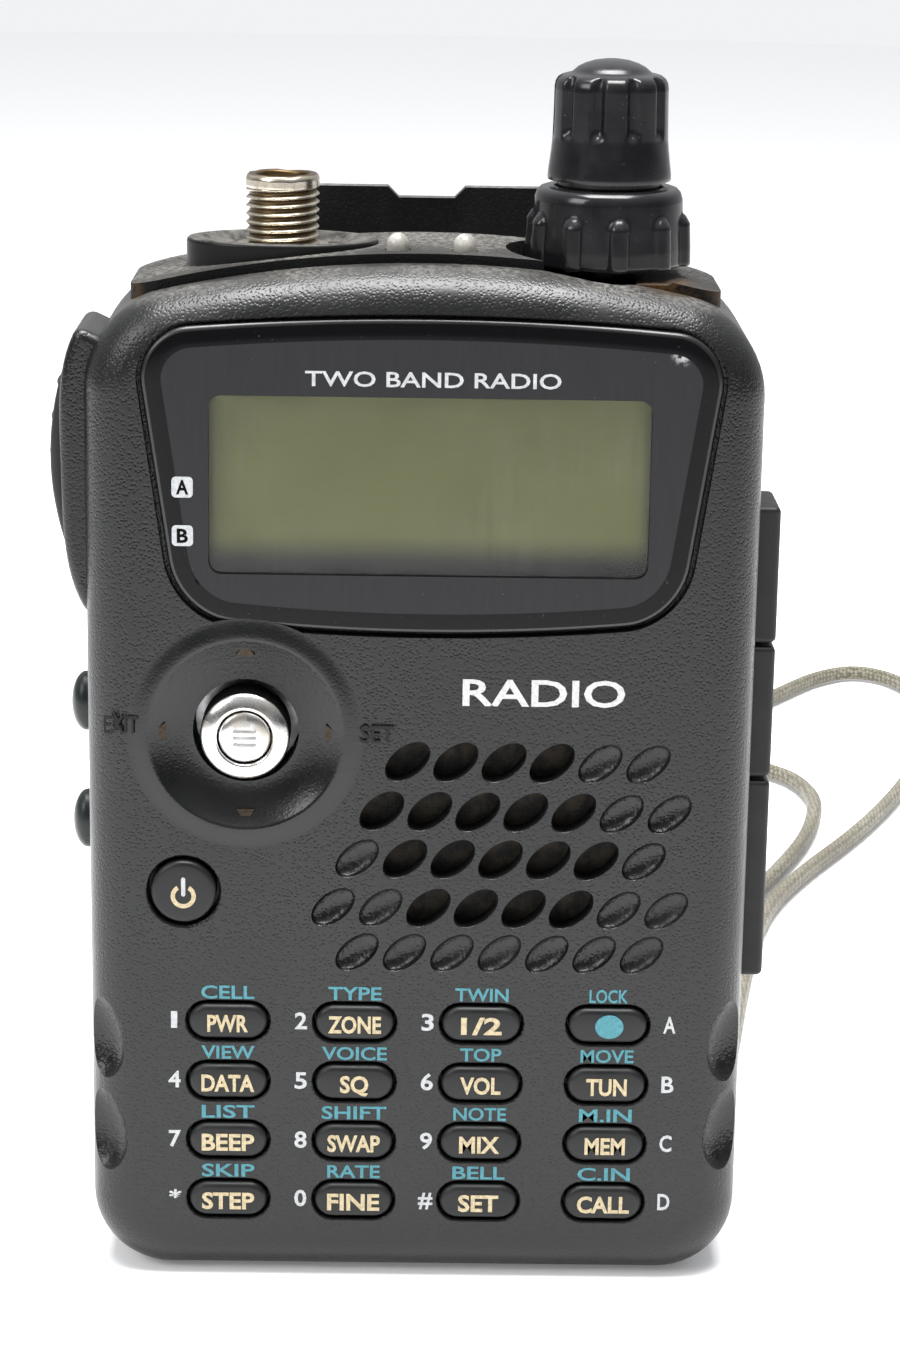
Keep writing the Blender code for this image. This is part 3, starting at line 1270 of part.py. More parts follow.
def make_clip():
    clip = part("belt_clip", clip_sheet_mesh(), "case_plastic")
    thickness = clip.modifiers.new("thickness", "SOLIDIFY")
    thickness.thickness = CLIP_THICKNESS
    thickness.offset = 0
    outline = slab_mesh(clip_outline(), PACK_BACK - OVERCUT, CLIP_Y + 2 * OVERCUT)
    boolean(clip, cutter("clip_outline", outline), "INTERSECT")
    knuckles = collection("knuckles", bpy.data.collections[CUTTERS])
    for side in (-1, 1):
        start = (side * CLIP_WAIST_HALF, CLIP_Y, CLIP_PIN_Z)
        end = (side * SPRING_WINDOW_HALF, CLIP_Y, CLIP_PIN_Z)
        cutter("knuckle", rod_mesh(start, end, KNUCKLE_RADIUS, 20), knuckles)
    boolean(clip, knuckles, "UNION")
    half_z = KNUCKLE_RADIUS + CLIP_THICKNESS / 2
    low = (-SPRING_WINDOW_HALF, PACK_BACK, CLIP_PIN_Z - half_z)
    high = (SPRING_WINDOW_HALF, CLIP_Y + 2 * OVERCUT, CLIP_PIN_Z + half_z)
    boolean(clip, cutter("spring_window", box_mesh(low, high)))
    reach = CLIP_WAIST_HALF + OVERCUT
    bore = rod_mesh((-reach, CLIP_Y, CLIP_PIN_Z), (reach, CLIP_Y, CLIP_PIN_Z), CLIP_PIN_RADIUS + GAP, 16)
    boolean(clip, cutter("clip_bore", bore))
    move_origin(clip, (0, CLIP_Y, CLIP_PIN_Z))


def move_origin(target, place):
    """Puts a piece's origin at a point on its joint's axis, and leaves its shape where it is."""
    offset = Vector(place) - target.location
    target.data.transform(Matrix.Translation(-offset))
    target.location = place


def make_clip_spring():
    steps = 8
    points = []
    for i in range(SPRING_TURNS * steps + 1):
        angle = math.tau * i / steps
        x = SPRING_PITCH * (i / steps - SPRING_TURNS / 2)
        y, z = SPRING_COIL_RADIUS * math.cos(angle), SPRING_COIL_RADIUS * math.sin(angle)
        points.append(Vector((x, y, z)))
    part("clip_spring", tube_mesh(points, SPRING_WIRE_RADIUS, 1), "steel").location = (0, CLIP_Y, CLIP_PIN_Z)


def clear_scene():
    for old in list(bpy.data.objects):
        bpy.data.objects.remove(old)


def main():
    clear_scene()
    collection(PARTS)
    collection(CUTTERS)
    make_aerial()
    make_bezel()
    make_lamps()
    make_knobs()
    make_encoder()
    make_display()
    make_joystick()
    make_keys()
    make_keypad_mat()
    make_side_buttons()
    make_jacks()
    make_jack_cover()
    make_eyelet()
    make_strap()
    make_speaker()
    make_boards()
    make_pack()
    make_bracket()
    make_clip()
    make_clip_spring()
    top_holes = top_hole_group()
    make_rear_case(top_holes)
    make_front_case(front_hole_group(), side_hole_group(), top_holes)


main()
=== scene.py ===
import math

import bmesh
import bpy
from mathutils import Matrix, Vector, noise


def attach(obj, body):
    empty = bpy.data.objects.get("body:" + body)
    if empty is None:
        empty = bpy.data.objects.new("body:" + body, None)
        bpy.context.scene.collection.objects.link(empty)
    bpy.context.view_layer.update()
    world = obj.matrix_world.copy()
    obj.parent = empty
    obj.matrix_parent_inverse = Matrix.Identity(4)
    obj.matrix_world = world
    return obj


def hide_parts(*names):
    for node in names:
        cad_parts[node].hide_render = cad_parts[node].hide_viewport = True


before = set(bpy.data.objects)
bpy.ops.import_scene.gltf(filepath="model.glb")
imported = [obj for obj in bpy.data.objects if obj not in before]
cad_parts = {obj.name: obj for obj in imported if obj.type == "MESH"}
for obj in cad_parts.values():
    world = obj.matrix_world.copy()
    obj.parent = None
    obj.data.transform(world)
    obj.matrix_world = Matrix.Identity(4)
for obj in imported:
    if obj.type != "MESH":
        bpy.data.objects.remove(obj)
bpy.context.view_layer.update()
mm = 0.001
body = "radio_body"
topRow = -3 * mm  # how far forward the top fittings stand
aerialX = -12.45 * mm
knobX = 15.65 * mm
print("frame loaded with", len(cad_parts), "nodes")


# shader nodes

class Wire:  # a socket that can be used in sums
    def __init__(self, finish, socket):
        self.finish = finish
        self.socket = socket

    def sum(self, operation, first, second=0.0):
        return self.finish.node("ShaderNodeMath", {"operation": operation}, {0: first, 1: second})

    def __add__(self, other):
        return self.sum("ADD", self, other)

    def __radd__(self, other):
        return self.sum("ADD", other, self)

    def __sub__(self, other):
        return self.sum("SUBTRACT", self, other)

    def __rsub__(self, other):
        return self.sum("SUBTRACT", other, self)

    def __mul__(self, other):
        return self.sum("MULTIPLY", self, other)

    def __rmul__(self, other):
        return self.sum("MULTIPLY", other, self)

    def __truediv__(self, other):
        return self.sum("DIVIDE", self, other)

    def __pow__(self, other):
        return self.sum("POWER", self, other)

    def ramp(self, low, high, start=0.0, end=1.0):  # a soft step from start to end
        settings = {"interpolation_type": "SMOOTHSTEP"}
        inputs = {"Value": self, "From Min": low, "From Max": high, "To Min": start, "To Max": end}
        return self.finish.node("ShaderNodeMapRange", settings, inputs)

    def size(self):
        return self.sum("ABSOLUTE", self)

    def least(self, other):
        return self.sum("MINIMUM", self, other)


class Finish:
    def __init__(self, name, **sockets):
        self.material = bpy.data.materials.new(name)
        self.material.use_nodes = True
        self.tree = self.material.node_tree
        self.shader = self.tree.nodes["Principled BSDF"]
        self.feed(**sockets)

    def feed(self, **sockets):
        for name, value in sockets.items():
            self.plug(self.shader.inputs[name.replace("_", " ").title().replace("Ior", "IOR")], value)

    def plug(self, socket, value):
        if isinstance(value, Wire):
            self.tree.links.new(value.socket, socket)
        elif isinstance(value, tuple) and len(value) == 3 and socket.type == "RGBA":
            socket.default_value = (*value, 1)
        else:
            socket.default_value = value

    def node(self, kind, settings=None, inputs=None, output=0):
        made = self.tree.nodes.new(kind)
        for name, value in (settings or {}).items():
            if name == "stops":
                while len(made.color_ramp.elements) < len(value):
                    made.color_ramp.elements.new(1)
                for stop, (place, colour) in zip(made.color_ramp.elements, value):
                    stop.position = place
                    stop.color = (*colour, 1)
            else:
                setattr(made, name, value)
        for name, value in (inputs or {}).items():
            self.plug(made.inputs[name], value)
        return Wire(self, made.outputs[output])

    def place(self):
        return self.node("ShaderNodeTexCoord", output="Object")

    def axes(self, vector):
        split = self.node("ShaderNodeSeparateXYZ", inputs={0: vector})
        return [Wire(self, socket) for socket in split.socket.node.outputs]

    def facing(self, axis):  # how far the surface faces along an axis, 0 x, 1 y, 2 z
        return self.axes(self.node("ShaderNodeTexCoord", output="Normal"))[axis]

    def noise(self, size, detail=2.0, roughness=0.5, stretch=None, contrast=0.0):
        vector = self.place()
        if stretch:
            vector = self.node("ShaderNodeMapping", inputs={"Vector": vector, "Scale": stretch})
        inputs = {"Vector": vector, "Scale": 1 / size, "Detail": detail, "Roughness": roughness}
        made = self.node("ShaderNodeTexNoise", inputs=inputs)
        return made.ramp(0.5 - contrast, 0.5 + contrast) if contrast else made

    def cells(self, size, feature="F1", randomness=1.0):
        inputs = {"Vector": self.place(), "Scale": 1 / size, "Randomness": randomness}
        return self.node("ShaderNodeTexVoronoi", {"feature": feature}, inputs, "Distance")

    def mix(self, share, first, second):
        return self.node("ShaderNodeMix", {"data_type": "RGBA"}, {0: share, 6: first, 7: second}, 2)

    def bump(self, height, depth, strength=1.0, after=None):
        inputs = {"Height": height, "Distance": depth, "Strength": strength}
        if after:
            inputs["Normal"] = after
        return self.node("ShaderNodeBump", inputs=inputs)

    def near(self, point, radius, soft):  # 1 inside a ball, falling softly to 0 past it
        offset = self.node(
            "ShaderNodeVectorMath", {"operation": "DISTANCE"}, {0: self.place(), 1: point}, "Value"
        )
        return offset.ramp(radius, radius + soft, 1.0, 0.0)


class Room(Finish):  # the world's own nodes
    def __init__(self, name):
        bpy.context.scene.world = bpy.data.worlds.new(name)
        bpy.context.scene.world.use_nodes = True
        self.tree = bpy.context.scene.world.node_tree
        self.shader = self.tree.nodes["Background"]


# outlines, as (across, up) in metres

def scaled(points):  # pairs given in millimetres, in metres
    return [(a * mm, b * mm) for a, b in points]


def arc(centre, radius, start, stop, steps):
    angles = [math.radians(start + (stop - start) * i / steps) for i in range(steps + 1)]
    return [(centre[0] + radius * math.cos(a), centre[1] + radius * math.sin(a)) for a in angles]


def ellipse(centre, long, short, tilt=0, steps=32):
    turn = Matrix.Rotation(math.radians(tilt), 2)
    angles = [math.tau * i / steps for i in range(steps)]
    return [tuple(Vector(centre) + turn @ Vector((long * math.cos(a), short * math.sin(a)))) for a in angles]


def stadium(centre, width, height, steps=10):
    radius = height / 2
    reach = width / 2 - radius
    right = arc((centre[0] + reach, centre[1]), radius, -90, 90, steps)
    return right + arc((centre[0] - reach, centre[1]), radius, 90, 270, steps)


def filleted(corners, radii, steps=8):
    points = []
    for i, (corner, radius) in enumerate(zip(corners, radii)):
        corner = Vector(corner)
        before = (Vector(corners[i - 1]) - corner).normalized()
        after = (Vector(corners[(i + 1) % len(corners)]) - corner).normalized()
        half = before.angle(after) / 2
        centre = corner + (before + after).normalized() * radius / math.sin(half)
        start = corner + before * radius / math.tan(half) - centre
        for k in range(steps + 1):
            points.append(tuple(centre + Matrix.Rotation((math.pi - 2 * half) * k / steps, 2) @ start))
    return points


def box(left, right, low, high, radius, steps=6):
    return filleted(((left, low), (right, low), (right, high), (left, high)), (radius,) * 4, steps)


def bowed(outline, low, high, half, centre, bowTop, bowFoot, pieces=24):
    dense = []
    for (x0, z0), (x1, z1) in zip(outline, outline[1:] + outline[:1]):
        bow = bowTop if 2 * z0 > low + high else bowFoot
        splits = pieces if bow and abs(x1 - x0) > half / 2 else 1
        dense += [(x0 + (x1 - x0) * k / splits, z0 + (z1 - z0) * k / splits) for k in range(splits)]
    points = []
    for x, z in dense:
        share = 1 - ((x - centre) / half) ** 2
        height = (z - low) / (high - low)
        points.append((x, z + share * (height * bowTop - (1 - height) * bowFoot)))
    return points


def inset(outline, amount):  # each point moved inwards along its own normal
    points = []
    count = len(outline)
    for i in range(count):
        here = Vector(outline[i])
        before = (here - Vector(outline[i - 1])).normalized()
        after = (Vector(outline[(i + 1) % count]) - here).normalized()
        along = (before + after).normalized()
        inwards = Vector((-along.y, along.x))
        points.append(tuple(here + inwards * amount / max(0.5, along.dot(after))))
    return points


# meshes

frontPlane = Matrix(((1, 0, 0, 0), (0, 0, 1, 0), (0, 1, 0, 0), (0, 0, 0, 1)))  # across x, up z, depth y
sidePlane = Matrix(((0, 0, 1, 0), (1, 0, 0, 0), (0, 1, 0, 0), (0, 0, 0, 1)))  # across y, up z, depth x
planPlane = Matrix.Identity(4)  # across x, up y, depth z


def meshObject(name, work):
    bmesh.ops.recalc_face_normals(work, faces=work.faces)
    mesh = bpy.data.meshes.new(name)
    work.to_mesh(mesh)
    work.free()
    made = bpy.data.objects.new(name, mesh)
    bpy.context.scene.collection.objects.link(made)
    return made


def loft(name, rings, plane=frontPlane, closed=False):
    # skin over rings of equal count, each (outline, depth), with flat ends unless it closes on itself
    work = bmesh.new()
    rows = []
    for outline, depth in rings:
        rows.append([work.verts.new(plane @ Vector((u, v, depth))) for u, v in outline])
    count = len(rows[0])
    pairs = list(zip(rows, rows[1:])) + ([(rows[-1], rows[0])] if closed else [])
    for lower, upper in pairs:
        for i in range(count):
            k = (i + 1) % count
            work.faces.new((lower[i], lower[k], upper[k], upper[i]))
    if not closed:
        work.faces.new(rows[0])
        work.faces.new(rows[-1])
    return meshObject(name, work)


def slab(name, outline, near, far, plane=frontPlane, nearEdge=0.0, farEdge=0.0, steps=4):
    # a prism with rounded edges at its ends
    rings = []
    for depth, edge, way in ((near, nearEdge, 1), (far, farEdge, -1)):
        part = []
        for i in range(steps + 1 if edge else 1):
            turn = math.pi / 2 * i / steps
            offset = edge * (1 - math.sin(turn)) if edge else 0
            lift = edge * (1 - math.cos(turn)) if edge else 0
            part.append((inset(outline, offset) if offset > 1e-9 else outline, depth + way * lift))
        rings += part if way > 0 else part[::-1]
    return loft(name, rings, plane)


def spun(name, profile, centre=(0, 0, 0), front=False, steps=64, shape=None):
    # a profile of (radius, height) turned round an axis, up or towards the front; shape may change its radius
    work = bmesh.new()
    rows = []
    for radius, height in profile:
        row = []
        for i in range(steps if radius else 1):
            angle = math.tau * i / steps
            reach = radius + (shape(angle, height, radius) if shape and radius else 0)
            point = Vector((reach * math.sin(angle), -reach * math.cos(angle), height))
            if front:
                point = Vector((point.x, -height, point.y * -1))
            row.append(work.verts.new(point + Vector(centre)))
        rows.append(row)
    for lower, upper in zip(rows, rows[1:]):
        for i in range(steps):
            k = (i + 1) % steps
            corners = [
                lower[i % len(lower)], lower[k % len(lower)], upper[k % len(upper)], upper[i % len(upper)]
            ]
            kept = [corner for n, corner in enumerate(corners) if corner not in corners[:n]]
            if len(kept) > 2:
                work.faces.new(kept)
    if len(rows[0]) > 1 and len(rows[-1]) > 1:
        for i in range(steps):
            k = (i + 1) % steps
            work.faces.new((rows[-1][i], rows[-1][k], rows[0][k], rows[0][i]))
    return meshObject(name, work)


def ball(name, centre, halves, tilt=0, axis="Y", steps=24):
    work = bmesh.new()
    bmesh.ops.create_uvsphere(work, u_segments=steps, v_segments=steps // 2, radius=1)
    place = Matrix.Translation(centre) @ Matrix.Rotation(
        math.radians(tilt), 4, axis
    ) @ Matrix.Diagonal((*halves, 1))
    bmesh.ops.transform(work, matrix=place, verts=work.verts)
    return meshObject(name, work)


def rod(name, start, end, radius, steps=32):
    work = bmesh.new()
    start, end = Vector(start), Vector(end)
    turn = (end - start).to_track_quat("Z", "Y").to_matrix().to_4x4()
    bmesh.ops.create_cone(
        work, cap_ends=True, segments=steps, radius1=radius, radius2=radius, depth=(end - start).length
    )
    bmesh.ops.transform(work, matrix=Matrix.Translation((start + end) / 2) @ turn, verts=work.verts)
    return meshObject(name, work)


def applied(target):  # the object with its modifiers made part of its mesh
    graph = bpy.context.evaluated_depsgraph_get()
    mesh = bpy.data.meshes.new_from_object(target.evaluated_get(graph))
    target.modifiers.clear()
    target.data = mesh
    return target


def cut(target, cutters, operation="DIFFERENCE"):
    group = bpy.data.collections.new("cutters")
    bpy.context.scene.collection.children.link(group)
    for cutter in cutters:
        group.objects.link(cutter)
    modifier = target.modifiers.new("cut", "BOOLEAN")
    modifier.operation = operation
    modifier.solver = "EXACT"
    modifier.operand_type = "COLLECTION"
    modifier.collection = group
    applied(target)
    for cutter in cutters:
        bpy.data.objects.remove(cutter)
    bpy.data.collections.remove(group)
    return target


def rounded(target, width, segments=3, angle=35):
    modifier = target.modifiers.new("edges", "BEVEL")
    modifier.width = width
    modifier.segments = segments
    modifier.limit_method = "ANGLE"
    modifier.angle_limit = math.radians(angle)
    modifier.use_clamp_overlap = True
    return applied(target)


def piece(target, finish, rides, slotName, *nodes, angle=32):
    # shades a new piece, gives it its material and its body, and hides the CAD nodes that it stands for
    target.data.materials.clear()
    target.data.materials.append(finish.material)
    for polygon in target.data.polygons:
        polygon.use_smooth = True
    target.data.set_sharp_from_angle(angle=math.radians(angle))
    weighted = target.modifiers.new("normals", "WEIGHTED_NORMAL")
    weighted.keep_sharp = True
    applied(target)
    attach(target, rides)
    if nodes:
        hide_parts(*nodes)
    return target


def refinish(finish, *nodes):  # a better material for nodes that keep their CAD shape
    for node in nodes:
        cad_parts[node].data.materials.clear()
        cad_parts[node].data.materials.append(finish.material)


def copyOf(node, name):
    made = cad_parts[node].copy()
    made.data = made.data.copy()
    made.name = name
    made.parent = None
    for key in list(made.keys()):
        del made[key]
    bpy.context.scene.collection.objects.link(made)
    work = bmesh.new()
    work.from_mesh(made.data)
    bmesh.ops.remove_doubles(work, verts=work.verts, dist=0.002 * mm)
    bmesh.ops.dissolve_limit(work, angle_limit=math.radians(1), verts=work.verts, edges=work.edges)
    work.to_mesh(made.data)
    work.free()
    return made


lettering = {"capital": 0.69, "curve": 3}  # height of a capital for size 1, and the steps in its curves


def words(name, items, finish, rides, slotName, thickness=0.03 * mm):
    # flat lettering facing the front: each item is text, height of its capitals, middle, width and weight
    work = bmesh.new()
    for text, height, middle, width, weight in items:
        curve = bpy.data.curves.new("words", "FONT")
        curve.body = text
        curve.align_x = "CENTER"
        curve.size = 1
        curve.offset = weight
        curve.resolution_u = lettering["curve"]
        holder = bpy.data.objects.new("words", curve)
        bpy.context.scene.collection.objects.link(holder)
        graph = bpy.context.evaluated_depsgraph_get()
        mesh = bpy.data.meshes.new_from_object(holder.evaluated_get(graph))
        bpy.data.objects.remove(holder)
        xs = [v.co.x for v in mesh.vertices]
        tall = height / lettering["capital"]
        wide = width / (max(xs) - min(xs)) if width else tall
        shift = Matrix.Translation((-(max(xs) + min(xs)) / 2, -lettering["capital"] / 2, 0))
        upright = Matrix.Rotation(math.radians(90), 4, "X")
        place = Matrix.Translation(middle) @ upright @ Matrix.Diagonal((wide, tall, 1, 1)) @ shift
        mesh.transform(place)
        work.from_mesh(mesh)
        bpy.data.meshes.remove(mesh)
    made = bmesh.ops.extrude_face_region(work, geom=work.faces[:])
    moved = [item for item in made["geom"] if isinstance(item, bmesh.types.BMVert)]
    bmesh.ops.translate(work, verts=moved, vec=(0, -thickness, 0))
    return piece(meshObject(name, work), finish, rides, slotName)


# camera, fitted to the same frame

view = {
    "place": (-0.481, -287.168, 130.406), "down": 15.15, "roll": 0.906, "yaw": -0.624, "lens": 131.37,
    "sensor": 36
}


def makeCamera():
    down, yaw, roll = (math.radians(view[key]) for key in ("down", "yaw", "roll"))
    made = bpy.data.cameras.new("view")
    made.sensor_fit = "HORIZONTAL"
    made.sensor_width = view["sensor"]
    made.lens = view["lens"]
    holder = bpy.data.objects.new("view", made)
    bpy.context.scene.collection.objects.link(holder)
    turn = Matrix.Rotation(yaw, 4, "Z") @ Matrix.Rotation(
        math.pi / 2 - down, 4, "X"
    ) @ Matrix.Rotation(roll, 4, "Z")
    holder.matrix_world = Matrix.Translation(Vector(view["place"]) * mm) @ turn
    bpy.context.scene.camera = holder
    print("camera ready")


makeCamera()


# floor, backdrop and lights

studio = {
    "floor": (0.93, 0.93, 0.935), "reach": 1.5, "sides": 64, "room": (0.97, 0.98, 1.0), "seen": 0.91,
    "glow": 0.16,
    "level": 0.07, "above": 0.62, "behind": 0.5,
}


def makeStudio():
    work = bmesh.new()
    bmesh.ops.create_circle(work, cap_ends=True, segments=studio["sides"], radius=studio["reach"])
    table = meshObject("table", work)
    paper = Finish(
        "paper", base_color=studio["floor"], roughness=0.8, emission_color=studio["floor"],
        emission_strength=studio["glow"]
    )
    paper.feed(normal=paper.bump(paper.noise(0.6 * mm, 3), 0.01 * mm, 0.3))
    table.data.materials.append(paper.material)
    room = Room("studio")
    x, y, z = room.axes(room.node("ShaderNodeTexCoord", output="Generated"))
    lit = studio["level"] + studio["above"] * z.ramp(0.1, 0.8) + studio["behind"] * y.ramp(-0.2, 0.7)
    seen = room.node("ShaderNodeLightPath", output="Is Camera Ray")
    room.plug(room.shader.inputs["Color"], studio["room"])
    room.plug(room.shader.inputs["Strength"], lit * (1 - seen) + studio["seen"] * seen)


def softbox(name, place, aim, size, power, colour=(1, 1, 1)):
    light = bpy.data.lights.new(name, "AREA")
    light.shape = "RECTANGLE"
    light.size, light.size_y = size
    light.energy = power
    light.color = colour
    holder = bpy.data.objects.new(name, light)
    bpy.context.scene.collection.objects.link(holder)
    holder.location = place
    holder.rotation_euler = (Vector(aim) - Vector(place)).to_track_quat("-Z", "Y").to_euler()


makeStudio()
bpy.context.scene.view_settings.view_transform = "Standard"
softbox("top", (0.0, -0.05, 0.62), (0, 0, 0.05), (0.4, 0.28), 8.6)
softbox("left", (-0.5, -0.35, 0.45), (0, 0, 0.05), (0.3, 0.3), 2.2)
print("studio ready")


# wrist strap, which leaves the eyelet and comes back to it

strap = {"diameter": 2 * mm, "exit": (0.0305, 0.0046, 0.0389)}
strapRoute = (
    (30.5, 4.6, 38.9), (30.4, 9.5, 38.9), (30.1, 14.5, 36.8), (29.8, 17.0, 31.5), (29.8, 17.6, 24.0),
    (29.9, 18.0, 15.0), (30.2, 19.8, 8.0), (31.0, 24.5, 2.8), (32.1, 31.5, 1.3), (33.6, 40.0, 1.3),
    (35.8, 54.0, 1.3), (38.8, 71.0, 1.3), (42.3, 84.5, 1.3), (47.4, 96.5, 1.3), (55.3, 111.7, 1.3),
    (61.2, 124.5, 1.3), (66.8, 139.0, 1.3), (71.6, 154.0, 1.3), (74.2, 168.0, 1.3), (74.0, 180.0, 1.3),
    (70.8, 189.6, 1.3), (65.6, 192.9, 1.3), (59.6, 189.0, 1.3), (52.9, 179.6, 1.3), (46.4, 169.6, 1.3),
    (42.0, 159.6, 1.3), (41.6, 150.6, 1.3), (45.6, 143.6, 1.3), (50.4, 137.2, 1.3), (52.3, 128.7, 1.3),
    (51.4, 119.6, 1.3), (48.9, 109.6, 1.3), (45.0, 99.0, 1.3), (40.0, 86.6, 1.3), (36.2, 71.6, 1.3),
    (33.2, 54.6, 1.3), (31.1, 40.6, 1.3), (29.8, 30.0, 1.3), (29.5, 22.0, 2.6), (29.6, 17.0, 7.0),
    (29.7, 15.4, 13.5), (29.7, 15.0, 20.5), (29.8, 14.4, 27.6), (30.0, 12.2, 33.0), (30.3, 8.8, 35.7),
    (30.5, 4.6, 36.1),
)


def smoothRoute(points, splits):
    # a curve through every point, in metres
    route = [Vector(point) * mm for point in points]
    ends = [2 * route[0] - route[1]] + route + [2 * route[-1] - route[-2]]
    dense = []
    for a, b, c, d in zip(ends, ends[1:], ends[2:], ends[3:]):
        for k in range(splits):
            t = k / splits
            dense.append(
                0.5 * (2 * b + (c - a) * t + (2 * a - 5 * b + 4 * c - d) * t ** 2
                       + (3 * b - a - 3 * c + d) * t ** 3)
            )
    return dense + [route[-1]]


def strapFinish():
    finish = Finish("strap_weave", roughness=0.85, sheen_weight=0.2)
    weave = finish.cells(0.55 * mm, randomness=0.35)
    dirt = finish.noise(14 * mm, 3, contrast=0.2)
    shade = finish.mix(dirt, (0.24, 0.225, 0.17), (0.15, 0.135, 0.095))
    finish.feed(base_color=finish.mix(weave.ramp(0.2, 0.7), shade, (0.08, 0.072, 0.05)))
    finish.feed(normal=finish.bump(weave, 0.12 * mm, -0.6))
    return finish


def tube(name, route, radius, sides=16):
    # rings square to the route, with as little twist as it allows
    rings = []
    side = Vector((0, 0, 1))
    for i, here in enumerate(route):
        along = (route[min(i + 1, len(route) - 1)] - route[max(i - 1, 0)]).normalized()
        side = (side - along * side.dot(along)).normalized()
        other = along.cross(side)
        rings.append(
            [here + radius * (side * math.cos(math.tau * k / sides) + other * math.sin(math.tau * k / sides))
             for k in range(sides)]
        )
    work = bmesh.new()
    rows = [[work.verts.new(point) for point in ring] for ring in rings]
    for lower, upper in zip(rows, rows[1:]):
        for i in range(sides):
            k = (i + 1) % sides
            work.faces.new((lower[i], lower[k], upper[k], upper[i]))
    work.faces.new(rows[0])
    work.faces.new(rows[-1])
    return meshObject(name, work)


def makeStrap():
    route = smoothRoute(strapRoute, 8)
    length = sum((b - a).length for a, b in zip(route, route[1:]))
    made = tube("strap", route, strap["diameter"] / 2)
    piece(made, strapFinish(), body, "strap_cord", "wrist_strap", angle=60)
    print("strap", round(length, 4), "m long")


makeStrap()


# finishes

plastic = {
    "dark": (0.0032, 0.0034, 0.0036), "light": (0.0062, 0.0064, 0.0067), "dust": (0.26, 0.25, 0.23),
    "dirt": (0.1, 0.055, 0.022), "chip": (0.3, 0.3, 0.3),
    "grain": 0.3 * mm, "grainDepth": 0.075 * mm,
}


def casePlastic(name="pebbled_plastic", polish=0.0, shine=0.4, relief=0.38):
    finish = Finish(name, specular_ior_level=shine)
    broad = finish.noise(11 * mm, 4, contrast=0.18)
    specks = finish.noise(0.5 * mm, 3, 0.7)
    grain = finish.cells(plastic["grain"])
    fine = finish.noise(0.22 * mm, 3)
    up = finish.facing(2)
    x, y, z = finish.axes(finish.place())
    onTop = up.ramp(0.75, 0.98) * z.ramp(84 * mm, 88 * mm)
    dust = (
        onTop * (0.08 + 0.5 * broad * specks.ramp(0.35, 0.65))
        + specks.ramp(0.66, 0.78) * 0.22 * up.ramp(0.1, 0.9)
    ).least(1)
    knobDirt = finish.near((20.5 * mm, -8.5 * mm, 91 * mm), 1 * mm, 4 * mm)
    cornerDirt = finish.near((-26 * mm, -9 * mm, 88 * mm), 0.6 * mm, 2 * mm)
    rightDirt = finish.near((26.2 * mm, -9 * mm, 88.2 * mm), 0.6 * mm, 2 * mm)
    mud = (knobDirt + cornerDirt + rightDirt) * finish.noise(1.2 * mm, 4, 0.7, contrast=0.15) * 0.75
    base = finish.mix(broad, plastic["dark"], plastic["light"])
    base = finish.mix(dust, base, plastic["dust"])
    base = finish.mix(mud.least(1), base, plastic["dirt"])
    chip = finish.near((2.6 * mm, -12.8 * mm, 88.6 * mm), 0.3 * mm, 0.9 * mm) * specks.ramp(0.4, 0.55)
    base = finish.mix(chip * 0.6, base, plastic["chip"])
    finish.feed(base_color=base, roughness=(0.28 - polish + 0.12 * broad + 0.4 * dust).least(0.95))
    height = grain.ramp(0.0, 0.6) + 0.35 * fine
    finish.feed(normal=finish.bump(height, plastic["grainDepth"], relief))
    return finish


def glossPlastic():
    finish = Finish("gloss_black", specular_ior_level=0.4)
    smear = finish.noise(3 * mm, 4, 0.6, contrast=0.25)
    specks = finish.noise(0.28 * mm, 2, 0.8)
    dust = specks.ramp(0.68, 0.8) * 0.35
    finish.feed(base_color=finish.mix(dust, (0.007, 0.007, 0.008), (0.25, 0.23, 0.2)))
    finish.feed(roughness=0.14 + 0.16 * smear + 0.4 * dust)
    finish.feed(normal=finish.bump(finish.noise(2.2 * mm, 2), 0.02 * mm, 0.12))
    return finish


def rubberFinish(name, colour, roughness=0.55):
    finish = Finish(name, specular_ior_level=0.3)
    worn = finish.noise(2.5 * mm, 3, contrast=0.2)
    lighter = tuple(c * 1.7 for c in colour)
    finish.feed(base_color=finish.mix(worn * 0.6, colour, lighter), roughness=roughness + 0.12 * worn)
    finish.feed(normal=finish.bump(finish.noise(0.16 * mm, 3), 0.02 * mm, 0.4))
    return finish


def lensFinish():
    finish = Finish("lens_print", coat_weight=0.2, coat_roughness=0.06, specular_ior_level=0.1)
    scuffs = finish.noise(1 * mm, 3, 0.6, stretch=(2.5, 1, 0.15), contrast=0.12)
    specks = finish.noise(0.24 * mm, 2, 0.8)
    dust = specks.ramp(0.71, 0.8) + 0.012 * scuffs
    chip = finish.near(
        (21.6 * mm, -15.1 * mm, 84.6 * mm), 0.3 * mm, 0.9 * mm
    ) * finish.noise(0.5 * mm, 3, 0.8, contrast=0.06)
    colour = finish.mix((dust * 0.4 + chip * 0.9).least(1), (0.014, 0.0142, 0.0155), (0.4, 0.4, 0.4))
    finish.feed(base_color=colour, roughness=0.34 + 0.1 * scuffs)
    finish.feed(normal=finish.bump(finish.noise(5 * mm, 2), 0.05 * mm, 0.15))
    return finish


def lensRimFinish():
    finish = Finish("lens_rim", roughness=0.12, specular_ior_level=0.12)
    finish.feed(
        base_color=finish.mix(
            finish.noise(0.3 * mm, 2, 0.8).ramp(0.7, 0.8) * 0.4, (0.004, 0.004, 0.0045), (0.4, 0.4, 0.4)
        )
    )
    return finish


